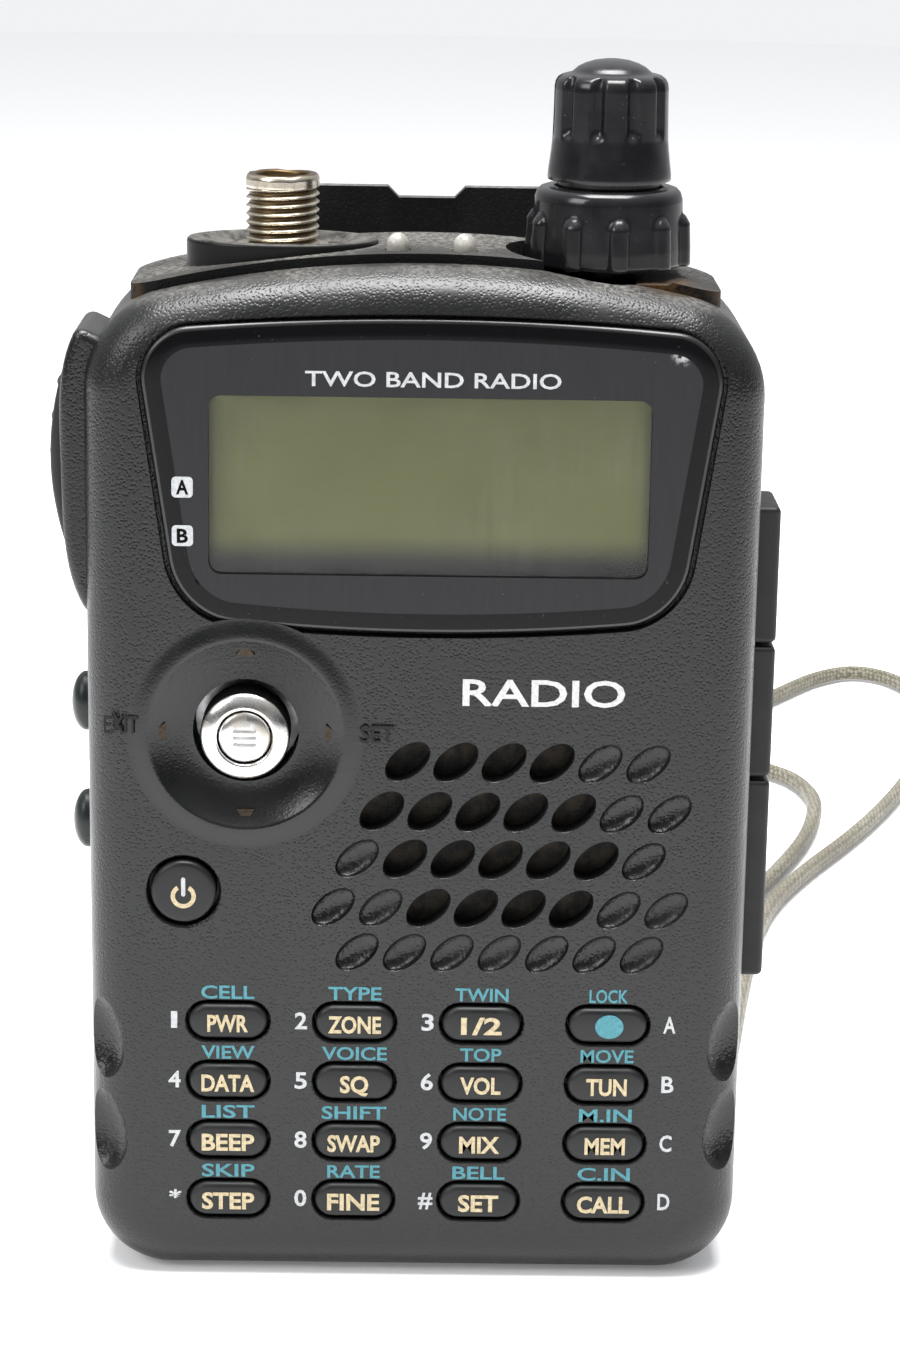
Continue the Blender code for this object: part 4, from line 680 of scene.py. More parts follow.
def metalFinish(name, colour, tarnish, roughness, spread, bumps=0.25):
    finish = Finish(name, metallic=1.0)
    stain = finish.noise(spread, 4, 0.65, contrast=0.16)
    finish.feed(base_color=finish.mix(stain, colour, tarnish), roughness=roughness + 0.22 * stain)
    finish.feed(normal=finish.bump(finish.noise(0.3 * mm, 3), 0.01 * mm, bumps))
    return finish


def threadPlating():
    finish = Finish("connector_plating", metallic=1.0)
    x, y, z = finish.axes(finish.place())
    reach = ((x - aerialX) ** 2 + (y - topRow) ** 2) ** 0.5
    stain = finish.noise(1.6 * mm, 4, 0.65, contrast=0.2)
    crest = reach.ramp(2.9 * mm, 3.12 * mm) * (0.55 + 0.45 * stain)
    finish.feed(
        base_color=finish.mix(crest, (0.1, 0.066, 0.032), (0.62, 0.57, 0.47)), roughness=0.38 - 0.16 * crest
    )
    return finish


def screenFinish():
    finish = Finish("screen", specular_ior_level=0.15)
    x, y, z = finish.axes(finish.place())
    cloud = finish.noise(12 * mm, 3, contrast=0.25)
    weave = finish.noise(0.5 * mm, 2)
    # darker towards the bottom edge and towards both sides: painted shade of the lens border over the screen set back
    # behind it
    edge = z.ramp(65.7 * mm, 68.8 * mm)
    sides = (x - 0.5 * mm).size().ramp(17.6 * mm, 19.2 * mm, 1.0, 0.35)
    olive = finish.mix((cloud * 0.95 + weave * 0.05).least(1), (0.115, 0.113, 0.04), (0.142, 0.14, 0.053))
    finish.feed(base_color=finish.mix(edge * sides, (0.012, 0.012, 0.012), olive), roughness=0.35 + 0.1 * cloud)
    return finish


def inkFinish(name, colour, worn=0.5, gloss=0.3):
    finish = Finish(name, roughness=0.5, specular_ior_level=gloss)
    patches = finish.noise(0.35 * mm, 3, 0.7, contrast=0.2)
    faded = tuple(c * (1 - worn) for c in colour)
    finish.feed(base_color=finish.mix(patches, faded, colour))
    return finish


def clothFinish():
    finish = Finish("grille_cloth", roughness=0.95)
    threads = finish.cells(0.34 * mm, randomness=0.3)
    dirt = finish.noise(1.3 * mm, 4, 0.7, contrast=0.12)
    base = finish.mix(dirt * 0.5, (0.012, 0.012, 0.012), (0.07, 0.055, 0.035))
    finish.feed(base_color=finish.mix(threads.ramp(0.15, 0.5), (0.003, 0.003, 0.003), base))
    finish.feed(normal=finish.bump(threads, 0.08 * mm, 0.8))
    return finish


def plainFinish(name, colour, roughness=0.5):
    finish = Finish(name)
    patches = finish.noise(4 * mm, 3, contrast=0.25)
    finish.feed(
        base_color=finish.mix(patches, tuple(c * 0.85 for c in colour), colour),
        roughness=roughness + 0.1 * patches
    )
    finish.feed(normal=finish.bump(finish.noise(0.25 * mm, 2), 0.01 * mm, 0.3))
    return finish


def lampFinish():
    finish = Finish("lamp_plastic", transmission_weight=0.5, ior=1.45)
    murk = finish.noise(1 * mm, 3, contrast=0.2)
    dusty = finish.facing(2).ramp(-0.2, 0.9)
    finish.feed(
        base_color=finish.mix(murk, (0.42, 0.4, 0.36), (0.62, 0.6, 0.55)), roughness=0.2 + 0.3 * murk * dusty
    )
    return finish


case = casePlastic()
smoothCase = casePlastic("smooth_plastic", 0.02, 0.42, 0.14)
dullCase = casePlastic("dusty_plastic", -0.3, 0.12, 0.4)
gloss = glossPlastic()
rubber = rubberFinish("rubber", (0.009, 0.0092, 0.0095), 0.42)
keyRubber = rubberFinish("key_rubber", (0.008, 0.0083, 0.0087), 0.36)
sideRubber = rubberFinish("side_rubber", (0.008, 0.0105, 0.011), 0.26)
chrome = metalFinish("chrome_plate", (0.78, 0.78, 0.79), (0.5, 0.47, 0.42), 0.14, 2.6 * mm, 0.03)
gold = threadPlating()
steel = metalFinish("steel_parts", (0.5, 0.5, 0.51), (0.3, 0.29, 0.28), 0.3, 3 * mm)
cream = inkFinish("cream_ink", (0.58, 0.48, 0.3), 0.35)
white = inkFinish("white_ink", (0.5, 0.51, 0.52), 0.25)
teal = inkFinish("teal_ink", (0.075, 0.27, 0.32), 0.3)
silver = inkFinish("silver_ink", (0.62, 0.62, 0.62), 0.3)
moulded = inkFinish("moulded_letters", (0.012, 0.012, 0.012), 0.1, 0.2)
# near-black for the printed band letters, and painted shade on walls deep in the stick well, the collar gaps and the
# window hole
darkPrintAndShade = inkFinish("dark_print_and_painted_shade", (0.003, 0.003, 0.003), 0.05, 0.05)
print("finishes ready")


# body shell

shell = {
    "half": 29 * mm, "front": -15 * mm, "seam": 1.5 * mm, "crest": 91.2 * mm, "crown": 102 * mm, "foot": 7 * mm,
    "shoulder": 6.5 * mm, "edge": 4.2 * mm, "wall": 2 * mm, "rear": 1.8 * mm, "back": 4.6 * mm,
}


def crownDrop(x):
    return shell["crown"] - math.sqrt(shell["crown"] ** 2 - x * x)


def bodyOutline():
    half = shell["half"]
    high = shell["crest"] - crownDrop(half)
    corners = ((-half, 0), (half, 0), (half, high), (-half, high))
    radii = (shell["foot"], shell["foot"], shell["shoulder"], shell["shoulder"])
    return bowed(filleted(corners, radii, 12), 0, high, half, 0, shell["crest"] - high, 0)


lens = {
    "centre": 0.6 * mm, "top": 25.2 * mm, "foot": 21.6 * mm, "low": 61.9 * mm, "high": 85.9 * mm,
    "bowTop": 1.4 * mm,
    "bowFoot": 1.8 * mm, "topCorner": 4 * mm, "footCorner": 5.5 * mm, "front": -15.1 * mm, "back": -14.2 * mm,
    "window": (-18.2 * mm, 19.2 * mm, 65.2 * mm, 80.6 * mm), "edge": 0.5 * mm, "fall": 0.1 * mm,
    "rim": 1.3 * mm,
}


def lensOutline(grow=0.0):
    low, high = lens["low"] - grow, lens["high"] + grow
    foot, top, middle = lens["foot"] + grow, lens["top"] + grow, lens["centre"]
    corners = ((middle - foot, low), (middle + foot, low), (middle + top, high), (middle - top, high))
    radii = [
        radius + grow
        for radius in (lens["footCorner"], lens["footCorner"], lens["topCorner"], lens["topCorner"])
    ]
    return bowed(filleted(corners, radii, 12), low, high, top, middle, lens["bowTop"], lens["bowFoot"])


def mouth(outline, depth, edge, flare=0.25 * mm):
    # a cutter through the front that leaves a rounded edge round its hole
    front = shell["front"]
    rings = [(inset(outline, -flare * 3), front - 2 * mm), (inset(outline, -flare), front - 0.01 * mm)]
    for i in range(1, 5):
        turn = math.pi / 2 * i / 4
        rings.append((inset(outline, -flare * (1 - math.sin(turn))), front + edge * (1 - math.cos(turn))))
    rings.append((outline, front + depth))
    return loft("mouth", rings)


def cup(outline, centre, depth, flare=0.05 * mm):
    # a cutter that leaves a round-bottomed hollow behind its outline
    front = shell["front"]
    rings = [
        (inset(outline, -flare * 3), front - 2 * mm), (inset(outline, -flare), front - 0.01 * mm),
        (outline, front + flare)
    ]
    for i in range(1, 8):
        turn = math.pi / 2 * i / 7.3
        shrink = math.cos(turn)
        ring = [
            (centre[0] + (u - centre[0]) * shrink, centre[1] + (v - centre[1]) * shrink) for u, v in outline
        ]
        rings.append((ring, front + flare + (depth - flare) * math.sin(turn)))
    return loft("cup", rings)


grille = {
    "long": 2.2 * mm, "short": 1.29 * mm, "tilt": 40, "pitch": 4.17 * mm, "blind": 0.85 * mm,
    "rows": (
        (48.7, -1.06, 6, 0, 4), (44.2, -3.25, 7, 0, 5), (39.85, -5.36, 7, 1, 6), (35.35, -7.43, 8, 2, 6),
        (31.2, -5.3, 7, 0, 0),
    ),
}
keys = {
    "width": 6.9 * mm, "height": 3.2 * mm, "x": -16.65 * mm, "pitchX": 11.2 * mm, "z": 24.6 * mm, "pitchZ": 5.65 * mm,
    "front": -15.4 * mm, "edge": 0.55 * mm,
}
stick = {
    "x": -15.1 * mm, "z": 51 * mm, "well": 4.6 * mm, "dish": 8.5 * mm, "lip": 10.3 * mm, "depth": 1.25 * mm
}
power = {"x": -20.5 * mm, "z": 36.65 * mm, "radius": 2.85 * mm, "front": -15.35 * mm}
knobDish = {"radius": 8.8 * mm, "floor": 89.6 * mm}


def keyPlace(row, column):
    return (keys["x"] + keys["pitchX"] * column, keys["z"] - keys["pitchZ"] * row)


def slotCutters():
    made = []
    for z, first, count, openFrom, openTo in grille["rows"]:
        for i in range(count):
            centre = (first * mm + grille["pitch"] * i, z * mm)
            outline = ellipse(centre, grille["long"], grille["short"], grille["tilt"])
            if openFrom <= i < openTo:
                made.append(mouth(outline, 3 * mm, 0.3 * mm, 0.15 * mm))
            else:
                made.append(cup(outline, centre, grille["blind"]))
    return made


def scoopCutters():
    # finger grips, two on each lower side
    made = []
    for x, z, lean in ((-30.1, 22.9, 21), (-30.0, 14.2, 25), (30.1, 23.2, -21), (30.0, 14.8, -22)):
        made.append(ball("scoop", (x * mm, -15.1 * mm, z * mm), (4.2 * mm, 3.2 * mm, 5.3 * mm), -lean, "Y", 40))
    return made


def knobDishCutter():
    profile = [(0, knobDish["floor"]), (knobDish["radius"] - 0.5 * mm, knobDish["floor"]),
               (knobDish["radius"], knobDish["floor"] + 0.5 * mm),
               (knobDish["radius"], 100 * mm), (0, 100 * mm)]
    return spun("knob_dish", profile, (knobX, topRow, 0))


def makeFrontShell():
    outline = bodyOutline()
    front, edge, wall = shell["front"], shell["edge"], shell["wall"]
    rings = [(outline, shell["seam"])]
    steps = 12
    for i in range(steps + 1):
        turn = math.pi / 2 * i / steps
        rings.append((inset(outline, edge * (1 - math.cos(turn))), front + edge * (1 - math.sin(turn))))
    inner = inset(outline, wall)
    innerEdge = edge - wall
    rings = [(inner, front + edge), (inner, shell["seam"])] + rings
    shelf = [(inset(inner, innerEdge), front + wall)]
    made = loft("front_shell", shelf + rings)
    cutters = [slab("lens_seat", lensOutline(0.35 * mm), front - 2 * mm, lens["back"] + 0.3 * mm)]
    left, right, low, high = lens["window"]
    cutters.append(
        slab(
            "window", box(left - 1 * mm, right + 1 * mm, low - 1 * mm, high + 1 * mm, 1 * mm),
            front - 1 * mm, front + 3 * mm
        )
    )
    for row in range(4):
        for column in range(4):
            outline = stadium(keyPlace(row, column), keys["width"] + 0.5 * mm, keys["height"] + 0.5 * mm)
            cutters.append(mouth(outline, 3 * mm, 0.3 * mm))
    cutters.append(
        mouth(
            ellipse((power["x"], power["z"]), power["radius"] + 0.3 * mm, power["radius"] + 0.3 * mm),
            3 * mm, 0.35 * mm, 0.35 * mm
        )
    )
    cutters.append(
        rod(
            "stick_pocket", (stick["x"], front - 1 * mm, stick["z"]), (stick["x"], front + 3 * mm, stick["z"]),
            stick["lip"] - 0.4 * mm, 64
        )
    )
    cutters += slotCutters() + scoopCutters()
    cut(made, cutters)
    side = []
    for z, halfZ, halfY in ((74, 10, 4), (51.2, 2.7, 2.1), (40.25, 2.7, 2.1)):
        outline = box(
            -5.5 * mm - halfY * mm - 0.3 * mm, -5.5 * mm + halfY * mm + 0.3 * mm, (z - halfZ - 0.3) * mm,
            (z + halfZ + 0.3) * mm, 1.6 * mm
        )
        side.append(slab("side_hole", outline, -33 * mm, -25 * mm, sidePlane))
    for z in (65, 40.3, 31):
        side.append(rod("jack_hole", (26 * mm, -4.3 * mm, z * mm), (31 * mm, -4.3 * mm, z * mm), 2.6 * mm))
    side.append(
        slab(
            "cover_seat", box(-8.3 * mm, -0.3 * mm, 26.5 * mm, 70.4 * mm, 1 * mm),
            28.6 * mm, 31 * mm, sidePlane
        )
    )
    side.append(knobDishCutter())
    side.append(rod("aerial_hole", (aerialX, topRow, 84 * mm), (aerialX, topRow, 95 * mm), 3.5 * mm))
    side.append(rod("shaft_hole", (knobX, topRow, 84 * mm), (knobX, topRow, 95 * mm), 3.5 * mm))
    cut(made, side)
    piece(made, case, body, "case_plastic", "front_case")
    print("front shell done")


def makeRearShell():
    outline = bodyOutline()
    wall = 1.6 * mm
    inner = inset(outline, wall)
    rings = [
        (inner, shell["back"] - wall), (inner, shell["rear"]), (outline, shell["rear"]),
        (outline, shell["back"] - 0.5 * mm)
    ]
    rings += [(inset(outline, 0.15 * mm), shell["back"] - 0.15 * mm), (inset(outline, 0.5 * mm), shell["back"])]
    made = loft("rear_shell", rings)
    notch = slab("latch_notch", box(-6.8 * mm, 6.8 * mm, -1 * mm, 1.7 * mm, 0.2 * mm), 3.4 * mm, 6 * mm)
    cutters = [knobDishCutter(), notch]
    for x in (-24.3, 24.3):
        for z in (6, 58.5):
            cutters.append(rod("screw_seat", (x * mm, 4 * mm, z * mm), (x * mm, 6 * mm, z * mm), 1.9 * mm, 40))
    cut(made, cutters)
    piece(made, case, body, "case_plastic", "rear_case")


platform = {
    "half": 25.3 * mm, "front": -9.7 * mm, "back": 4.2 * mm, "rise": 0.8 * mm, "deep": 2.2 * mm,
    "corner": 3 * mm, "edge": 0.3 * mm,
}
lamps = {"x": (-2.45 * mm, 3.27 * mm), "y": -7 * mm, "hole": 1.12 * mm, "radius": 1.0, "rim": 92.3, "rise": 1.1}


def makeTopPlate():
    # the raised platform that the controls stand on, with the crown of the body
    half, front, back = platform["half"], platform["front"], platform["back"]
    line = []
    for i in range(49):
        x = half * 1.02 * (1 - 2 * i / 48)
        line.append((x, shell["crest"] + platform["rise"] - crownDrop(x)))
    band = line + [(x, z - platform["deep"]) for x, z in reversed(line)]
    made = slab("top_plate", band, front - 2 * mm, back + 2 * mm)
    plan = slab("plan", box(-half, half, front, back, platform["corner"], 12), 70 * mm, 110 * mm, planPlane)
    cut(made, [plan], "INTERSECT")
    cutters = [
        knobDishCutter(), rod("aerial_hole", (aerialX, topRow, 84 * mm), (aerialX, topRow, 95 * mm), 3.5 * mm)
    ]
    for x in lamps["x"]:
        cutters.append(rod("lamp_hole", (x, lamps["y"], 84 * mm), (x, lamps["y"], 95 * mm), lamps["hole"]))
    cut(made, cutters)
    rounded(made, platform["edge"], 3, 40)
    piece(made, dullCase, body, "case_plastic")


def makeStickSurround():
    front = shell["front"]
    profile = [(stick["lip"], 14 * mm), (stick["lip"], -front)]
    steps = 18
    lipRise, crest = 0.26 * mm, stick["dish"]
    for i in range(1, steps + 1):
        share = i / steps
        radius = stick["lip"] + (crest - stick["lip"]) * share
        profile.append((radius, -front + lipRise * (1 - math.cos(math.pi * share)) / 2))
    for i in range(1, steps + 1):
        share = i / steps
        radius = crest + (stick["well"] - crest) * share
        profile.append((radius, -front + lipRise - (stick["depth"] + lipRise) * (1 - (1 - share) ** 1.8)))
    profile.append((stick["well"], 12.4 * mm))
    profile.append((stick["lip"] - 1 * mm, 12.4 * mm))
    made = spun("stick_surround", profile, (stick["x"], 0, stick["z"]), front=True, steps=96)
    piece(made, smoothCase, body, "case_plastic", angle=50)
    # the wall of the well round the stick is painted near-black: painted shade down in the well
    made.data.materials.append(darkPrintAndShade.material)
    for polygon in made.data.polygons:
        if math.hypot(polygon.center.x - stick["x"], polygon.center.z - stick["z"]) < stick["well"] + 0.02 * mm:
            polygon.material_index = 1
    reach = 6.9 * mm
    work = bmesh.new()
    for turn in (0, 90, 180, 270):
        tip = Matrix.Rotation(math.radians(turn), 3, "Y")
        corners = [
            Vector((-0.8 * mm, 0, reach)), Vector((0.8 * mm, 0, reach)), Vector((0, 0, reach + 1.2 * mm))
        ]
        low, high = [], []
        for corner, depth in zip(corners, (0.42 * mm, 0.42 * mm, 0.42 * mm - 0.12 * mm)):
            low.append(work.verts.new(tip @ corner + Vector((stick["x"], front + 1.2 * mm, stick["z"]))))
            high.append(work.verts.new(tip @ corner + Vector((stick["x"], front + depth, stick["z"]))))
        work.faces.new(low)
        work.faces.new(high)
        for i in range(3):
            k = (i + 1) % 3
            work.faces.new((low[i], low[k], high[k], high[i]))
    dirt = inkFinish("arrow_dirt", (0.05, 0.03, 0.012), 0.7)
    piece(meshObject("stick_arrows", work), dirt, body, "case_plastic")


talk = {
    "low": 60.3 * mm, "high": 85.6 * mm, "rise": 1.9 * mm, "step": 0.55 * mm,
    "keyX": -30.2 * mm, "crown": 2 * mm, "middle": 74, "reach": 10, "y": (-9.5 * mm, -1.5 * mm),
    "inner": -27.5 * mm,
}


def makeTalkHousing():
    # crowned housing on the left side, with the key's opening
    low, high, rise, step = talk["low"], talk["high"], talk["rise"], talk["step"]
    outline = []
    for i in range(33):
        share = 1 - 2 * i / 32
        z = (low + high) / 2 + share * (high - low) / 2
        out = step * (1 + share) / 2 + rise * (1 - share ** 4)
        outline.append((-shell["half"] - out, z))
    outline += [(-26.5 * mm, low), (-26.5 * mm, 84.2 * mm)]
    made = slab("talk_housing", outline, -11 * mm, 0 * mm)
    rounded(made, 0.9 * mm, 5, 40)
    hole = slab(
        "talk_hole", box(-9.8 * mm, -1.2 * mm, 63.7 * mm, 84.3 * mm, 1.8 * mm), -34 * mm, -26 * mm, sidePlane
    )
    cut(made, [hole])
    piece(made, case, body, "case_plastic")


def makeTalkKey():
    outline = []
    for i in range(25):
        share = 1 - 2 * i / 24
        outline.append(
            (talk["keyX"] - talk["crown"] * (1 - share ** 2), (talk["middle"] + talk["reach"] * share) * mm)
        )
    for z in (talk["middle"] - talk["reach"], talk["middle"] + talk["reach"]):
        outline.append((talk["inner"], z * mm))
    made = slab("talk_key", outline, *talk["y"])
    rounded(made, 0.7 * mm, 4, 40)
    bumps = []
    for i in range(5):
        z = (68 + 3 * i) * mm
        share = (z / mm - talk["middle"]) / talk["reach"]
        x = talk["keyX"] - talk["crown"] * (1 - share ** 2)
        bumps.append(ball("talk_bump", (x + 0.25 * mm, -5.5 * mm, z), (0.6 * mm, 2.2 * mm, 0.55 * mm)))
    cut(made, bumps, "UNION")
    piece(made, rubber, "talk", "rubber", "talk_button")


sideKeys = {"y": -5.5 * mm, "halves": (2.1 * mm, 2.7 * mm), "wall": -29.7, "rise": 1.3}


def makeSideKeys():
    y, halves = sideKeys["y"], sideKeys["halves"]
    for name, rides, z in (
        ("side_key_upper", "side_upper", 51.2 * mm), ("side_key_lower", "side_lower", 40.25 * mm)
    ):
        outline = ellipse((y, z), *halves, 0, 40)
        rings = [(outline, -26.2 * mm), (outline, sideKeys["wall"] * mm)]
        for i in range(1, 9):
            turn = math.pi / 2 * i / 8
            scale = max(math.cos(turn), 0.05)
            ring = [(y + (u - y) * scale, z + (v - z) * scale) for u, v in outline]
            rings.append((ring, (sideKeys["wall"] - sideKeys["rise"] * math.sin(turn)) * mm))
        piece(
            loft(name, rings, sidePlane), sideRubber, rides, "rubber", name.replace("side_key", "side_button")
        )


makeFrontShell()
makeRearShell()
makeTopPlate()
makeStickSurround()
makeTalkHousing()
makeTalkKey()
makeSideKeys()


# display

def makeLens():
    outline = lensOutline()
    left, right, low, high = lens["window"]
    front, back = lens["front"], lens["back"]
    edge, fall = lens["edge"], lens["fall"]
    rings = [(outline, back), (outline, front + edge + fall)]
    for i in range(1, 7):
        turn = math.pi / 2 * i / 6.6
        rings.append((inset(outline, edge * (1 - math.cos(turn))), front + fall + edge * (1 - math.sin(turn))))
    for i in range(1, 7):
        share = i / 6
        rings.append(
            (inset(outline, edge + lens["rim"] * share), front + fall * (1 - math.sin(math.pi / 2 * share)))
        )
    made = loft("lens", rings)
    hole = [slab("window", box(left, right, low, high, 1.1 * mm, 10), front - 1 * mm, back + 1 * mm)]
    cut(made, hole)
    piece(made, lensPrint, body, "lens", "display_lens")
    for finish in (lensRim, darkPrintAndShade, lensEdge):
        made.data.materials.append(finish.material)
    flat = math.cos(math.radians(0.6))
    for polygon in made.data.polygons:
        if -polygon.normal.y < flat:
            inHole = left - mm < polygon.center.x < right + mm and low - mm < polygon.center.z < high + mm
            onEdge = polygon.normal.y > -0.985
            # walls of the window hole take the near-black, as painted shade inside the opening; steep outer edges
            # take the edge finish, the sloping rim the rim finish
            polygon.material_index = 2 if inHole else 3 if onEdge else 1
    slack = 0.02 * mm
    outline = box(left + slack, right - slack, low + slack, high - slack, 1.08 * mm, 10)
    pane = slab("window_pane", outline, front + 0.3 * mm, front + 0.36 * mm)
    piece(pane, paneFinish(), body, "lens")
    refinish(screenFinish(), "lcd_glass")


def paneFinish():
    finish = Finish("clear_window")
    scuffs = finish.noise(1 * mm, 4, 0.6, stretch=(3, 3, 0.12), contrast=0.12)
    film = finish.noise(9 * mm, 3, contrast=0.2)
    clear = finish.node("ShaderNodeBsdfTransparent", inputs={"Color": (0.93, 0.94, 0.93)})
    shine = finish.node("ShaderNodeBsdfGlossy", inputs={"Roughness": 0.09, "Color": (1, 1, 1)})
    haze = finish.node("ShaderNodeBsdfDiffuse", inputs={"Color": (0.75, 0.75, 0.72)})
    specks = finish.noise(0.24 * mm, 2, 0.8).ramp(0.71, 0.8)
    veil = finish.node(
        "ShaderNodeMixShader", inputs={0: 0.003 + 0.014 * scuffs * film + 0.25 * specks, 1: clear, 2: haze}
    )
    gleam = finish.node("ShaderNodeFresnel", inputs={"IOR": 1.45}) * 0.3
    both = finish.node("ShaderNodeMixShader", inputs={0: gleam, 1: veil, 2: shine})
    output = finish.tree.nodes["Material Output"]
    finish.tree.links.new(both.socket, output.inputs["Surface"])
    finish.tree.nodes.remove(finish.shader)
    return finish


lensPrint = lensFinish()
lensRim = lensRimFinish()
lensEdge = plainFinish("lens_edge", (0.008, 0.008, 0.008), 0.26)
makeLens()
printed = lens["front"] - 0.005 * mm
words(
    "lens_lettering", [("TWO BAND RADIO", 1.25 * mm, (0.7 * mm, printed, 82.15 * mm), 21.5 * mm, 0.012)], white,
    body, "lens"
)


def makeBandMarks():
    # two small light squares with a cut-out letter each
    work = bmesh.new()
    for z in (72.7, 68.5):
        outline = box(-21.3 * mm, -19.5 * mm, (z - 0.9) * mm, (z + 0.9) * mm, 0.35 * mm, 4)
        low = [work.verts.new((u, printed + 0.02 * mm, v)) for u, v in outline]
        high = [work.verts.new((u, printed - 0.02 * mm, v)) for u, v in outline]
        work.faces.new(low)
        work.faces.new(high)
        for i in range(len(low)):
            k = (i + 1) % len(low)
            work.faces.new((low[i], low[k], high[k], high[i]))
    piece(meshObject("band_marks", work), white, body, "lens")
    items = [("A", 1.15 * mm, (-20.4 * mm, printed - 0.025 * mm, 72.7 * mm), 1.05 * mm, 0.03),
             ("B", 1.15 * mm, (-20.4 * mm, printed - 0.025 * mm, 68.5 * mm), 0.95 * mm, 0.03)]
    words("band_letters", items, darkPrintAndShade, body, "lens", 0.01 * mm)


makeBandMarks()
print("display done")


# joystick

def makeStick():
    centre = (stick["x"], 0, stick["z"])
    collar = [(3.1, 12.6), (3.87, 12.6), (3.87, 15.35), (3.8, 15.62), (3.62, 15.8), (3.3, 15.98),
              (2.75, 16.2), (2.55, 16.22), (2.42, 16.12),
              (2.38, 15.9), (2.38, 14.6), (3.1, 14.6)]
    made = spun("stick_collar", scaled(collar), centre, True, 96)
    piece(made, chrome, "joystick", "chrome", "joystick_ring", angle=50)
    # the collar's side walls behind its front are painted near-black: painted shade in the gaps round the collar and
    # the menu cap
    made.data.materials.append(darkPrintAndShade.material)
    for polygon in made.data.polygons:
        if abs(polygon.normal.y) < 0.3 and polygon.center.y > -15.6 * mm:
            polygon.material_index = 1
    cap = [
        (0, 12.9), (2.8, 12.9), (2.8, 13.4), (2.27, 13.4), (2.27, 15.75), (2.2, 16.0), (1.98, 16.14),
        (1.5, 16.22), (0.8, 16.3), (0, 16.32)
    ]
    made = spun("menu_cap", scaled(cap), centre, True, 72)
    piece(made, chrome, "menu", "chrome", "menu_button", angle=45)
    # the menu glyph's three bars, in darker metal as painted shade of engraved lines
    for i, z in enumerate((-0.6, 0, 0.6)):
        outline = stadium((stick["x"], stick["z"] + z * mm), 2.0 * mm, 0.3 * mm, 5)
        piece(
            slab(f"menu_bar_{i + 1}", outline, -16.4 * mm, -16.1 * mm, nearEdge=0.06 * mm), glyphShadeMetal, "menu",
            "chrome"
        )
    refinish(rubber, "joystick_gimbal")
    refinish(steel, "joystick_base")


plainWhite = plainFinish("white_plastic", (0.75, 0.75, 0.72), 0.45)
# darker metal for the menu glyph's bars: painted shade standing in for its engraved lines
glyphShadeMetal = metalFinish("menu_glyph_painted_shade", (0.36, 0.36, 0.36), (0.25, 0.24, 0.23), 0.35, 2 * mm)
makeStick()
engraved = shell["front"] - 0.008 * mm
raised = engraved - 0.1 * mm
items = [
    ("EXIT", 1.5 * mm, (-25.8 * mm, raised, 51.8 * mm), 2.9 * mm, 0.012),
    ("SET", 1.5 * mm, (-3.7 * mm, raised, 51.2 * mm), 2.9 * mm, 0.012),
]
words("stick_words", items, moulded, body, "case_plastic", 0.2 * mm)


# keypad and power button

legends = (
    (
        ("PWR", "ZONE", "1/2", ""), ("DATA", "SQ", "VOL", "TUN"),
        ("BEEP", "SWAP", "MIX", "MEM"), ("STEP", "FINE", "SET", "CALL"),
    ),
    (
        ("CELL", "TYPE", "TWIN", "LOCK"), ("VIEW", "VOICE", "TOP", "MOVE"),
        ("LIST", "SHIFT", "NOTE", "M.IN"), ("SKIP", "RATE", "BELL", "C.IN"),
    ),
    (("1", "2", "3", "A"), ("4", "5", "6", "B"), ("7", "8", "9", "C"), ("*", "0", "#", "D")),
)


def makeKeys():
    front = keys["front"]
    over, side = [], []
    for row in range(4):
        for column in range(4):
            x, z = keyPlace(row, column)
            node = f"key_{row + 1}_{column + 1}"
            outline = stadium((x, z), keys["width"], keys["height"], 14)
            rings = [
                (inset(outline, -0.7 * mm), -12.7 * mm), (outline, -12.6 * mm), (outline, front + keys["edge"])
            ]
            for i in range(1, 6):
                turn = math.pi / 2 * i / 5
                rings.append(
                    (inset(outline, keys["edge"] * (1 - math.cos(turn))),
                     front + keys["edge"] * (1 - math.sin(turn)) + 0.1 * mm)
                )
            rings.append((inset(outline, keys["edge"] + 0.4 * mm), front + 0.05 * mm))
            rings.append((inset(outline, keys["edge"] + 0.8 * mm), front + 0.02 * mm))
            made = loft(node + "_cap", rings)
            piece(made, keyRubber, node + "_body", "key_rubber", node, angle=40)
            word = legends[0][row][column]
            if word:
                width = min(0.36 + 1.08 * len(word), 5.0) * mm
                words(
                    node + "_legend", [(word, 1.5 * mm, (x, front + 0.01 * mm, z - 0.08 * mm), width, 0.028)],
                    cream, node + "_body", "key_rubber"
                )
            else:
                disc = slab(
                    node + "_disc", ellipse((x + 0.1 * mm, z), 1.25 * mm, 1.1 * mm, 0, 40), front + 0.02 * mm,
                    front - 0.03 * mm
                )
                piece(disc, teal, node + "_body", "key_rubber")
            top = legends[1][row][column]
            lean = {"LOCK": 3.4}.get(top, 0.5 + 1.05 * len(top))
            over.append((top, 1.18 * mm, (x, engraved, z + 2.72 * mm), lean * mm, 0.018))
            mark = legends[2][row][column]
            offset = 5.45 * mm if column == 3 else -4.75 * mm
            wide = {"1": 0.55, "#": 1.3, "*": 1.1}.get(mark, 1.08)
            tall = 1.25 if mark == "*" else 1.5
            side.append((mark, tall * mm, (x + offset, engraved, z + 0.1 * mm), wide * mm, 0.02))
    words("upper_legends", over, teal, body, "case_plastic", 0.015 * mm)
    words("side_legends", side, white, body, "case_plastic", 0.015 * mm)


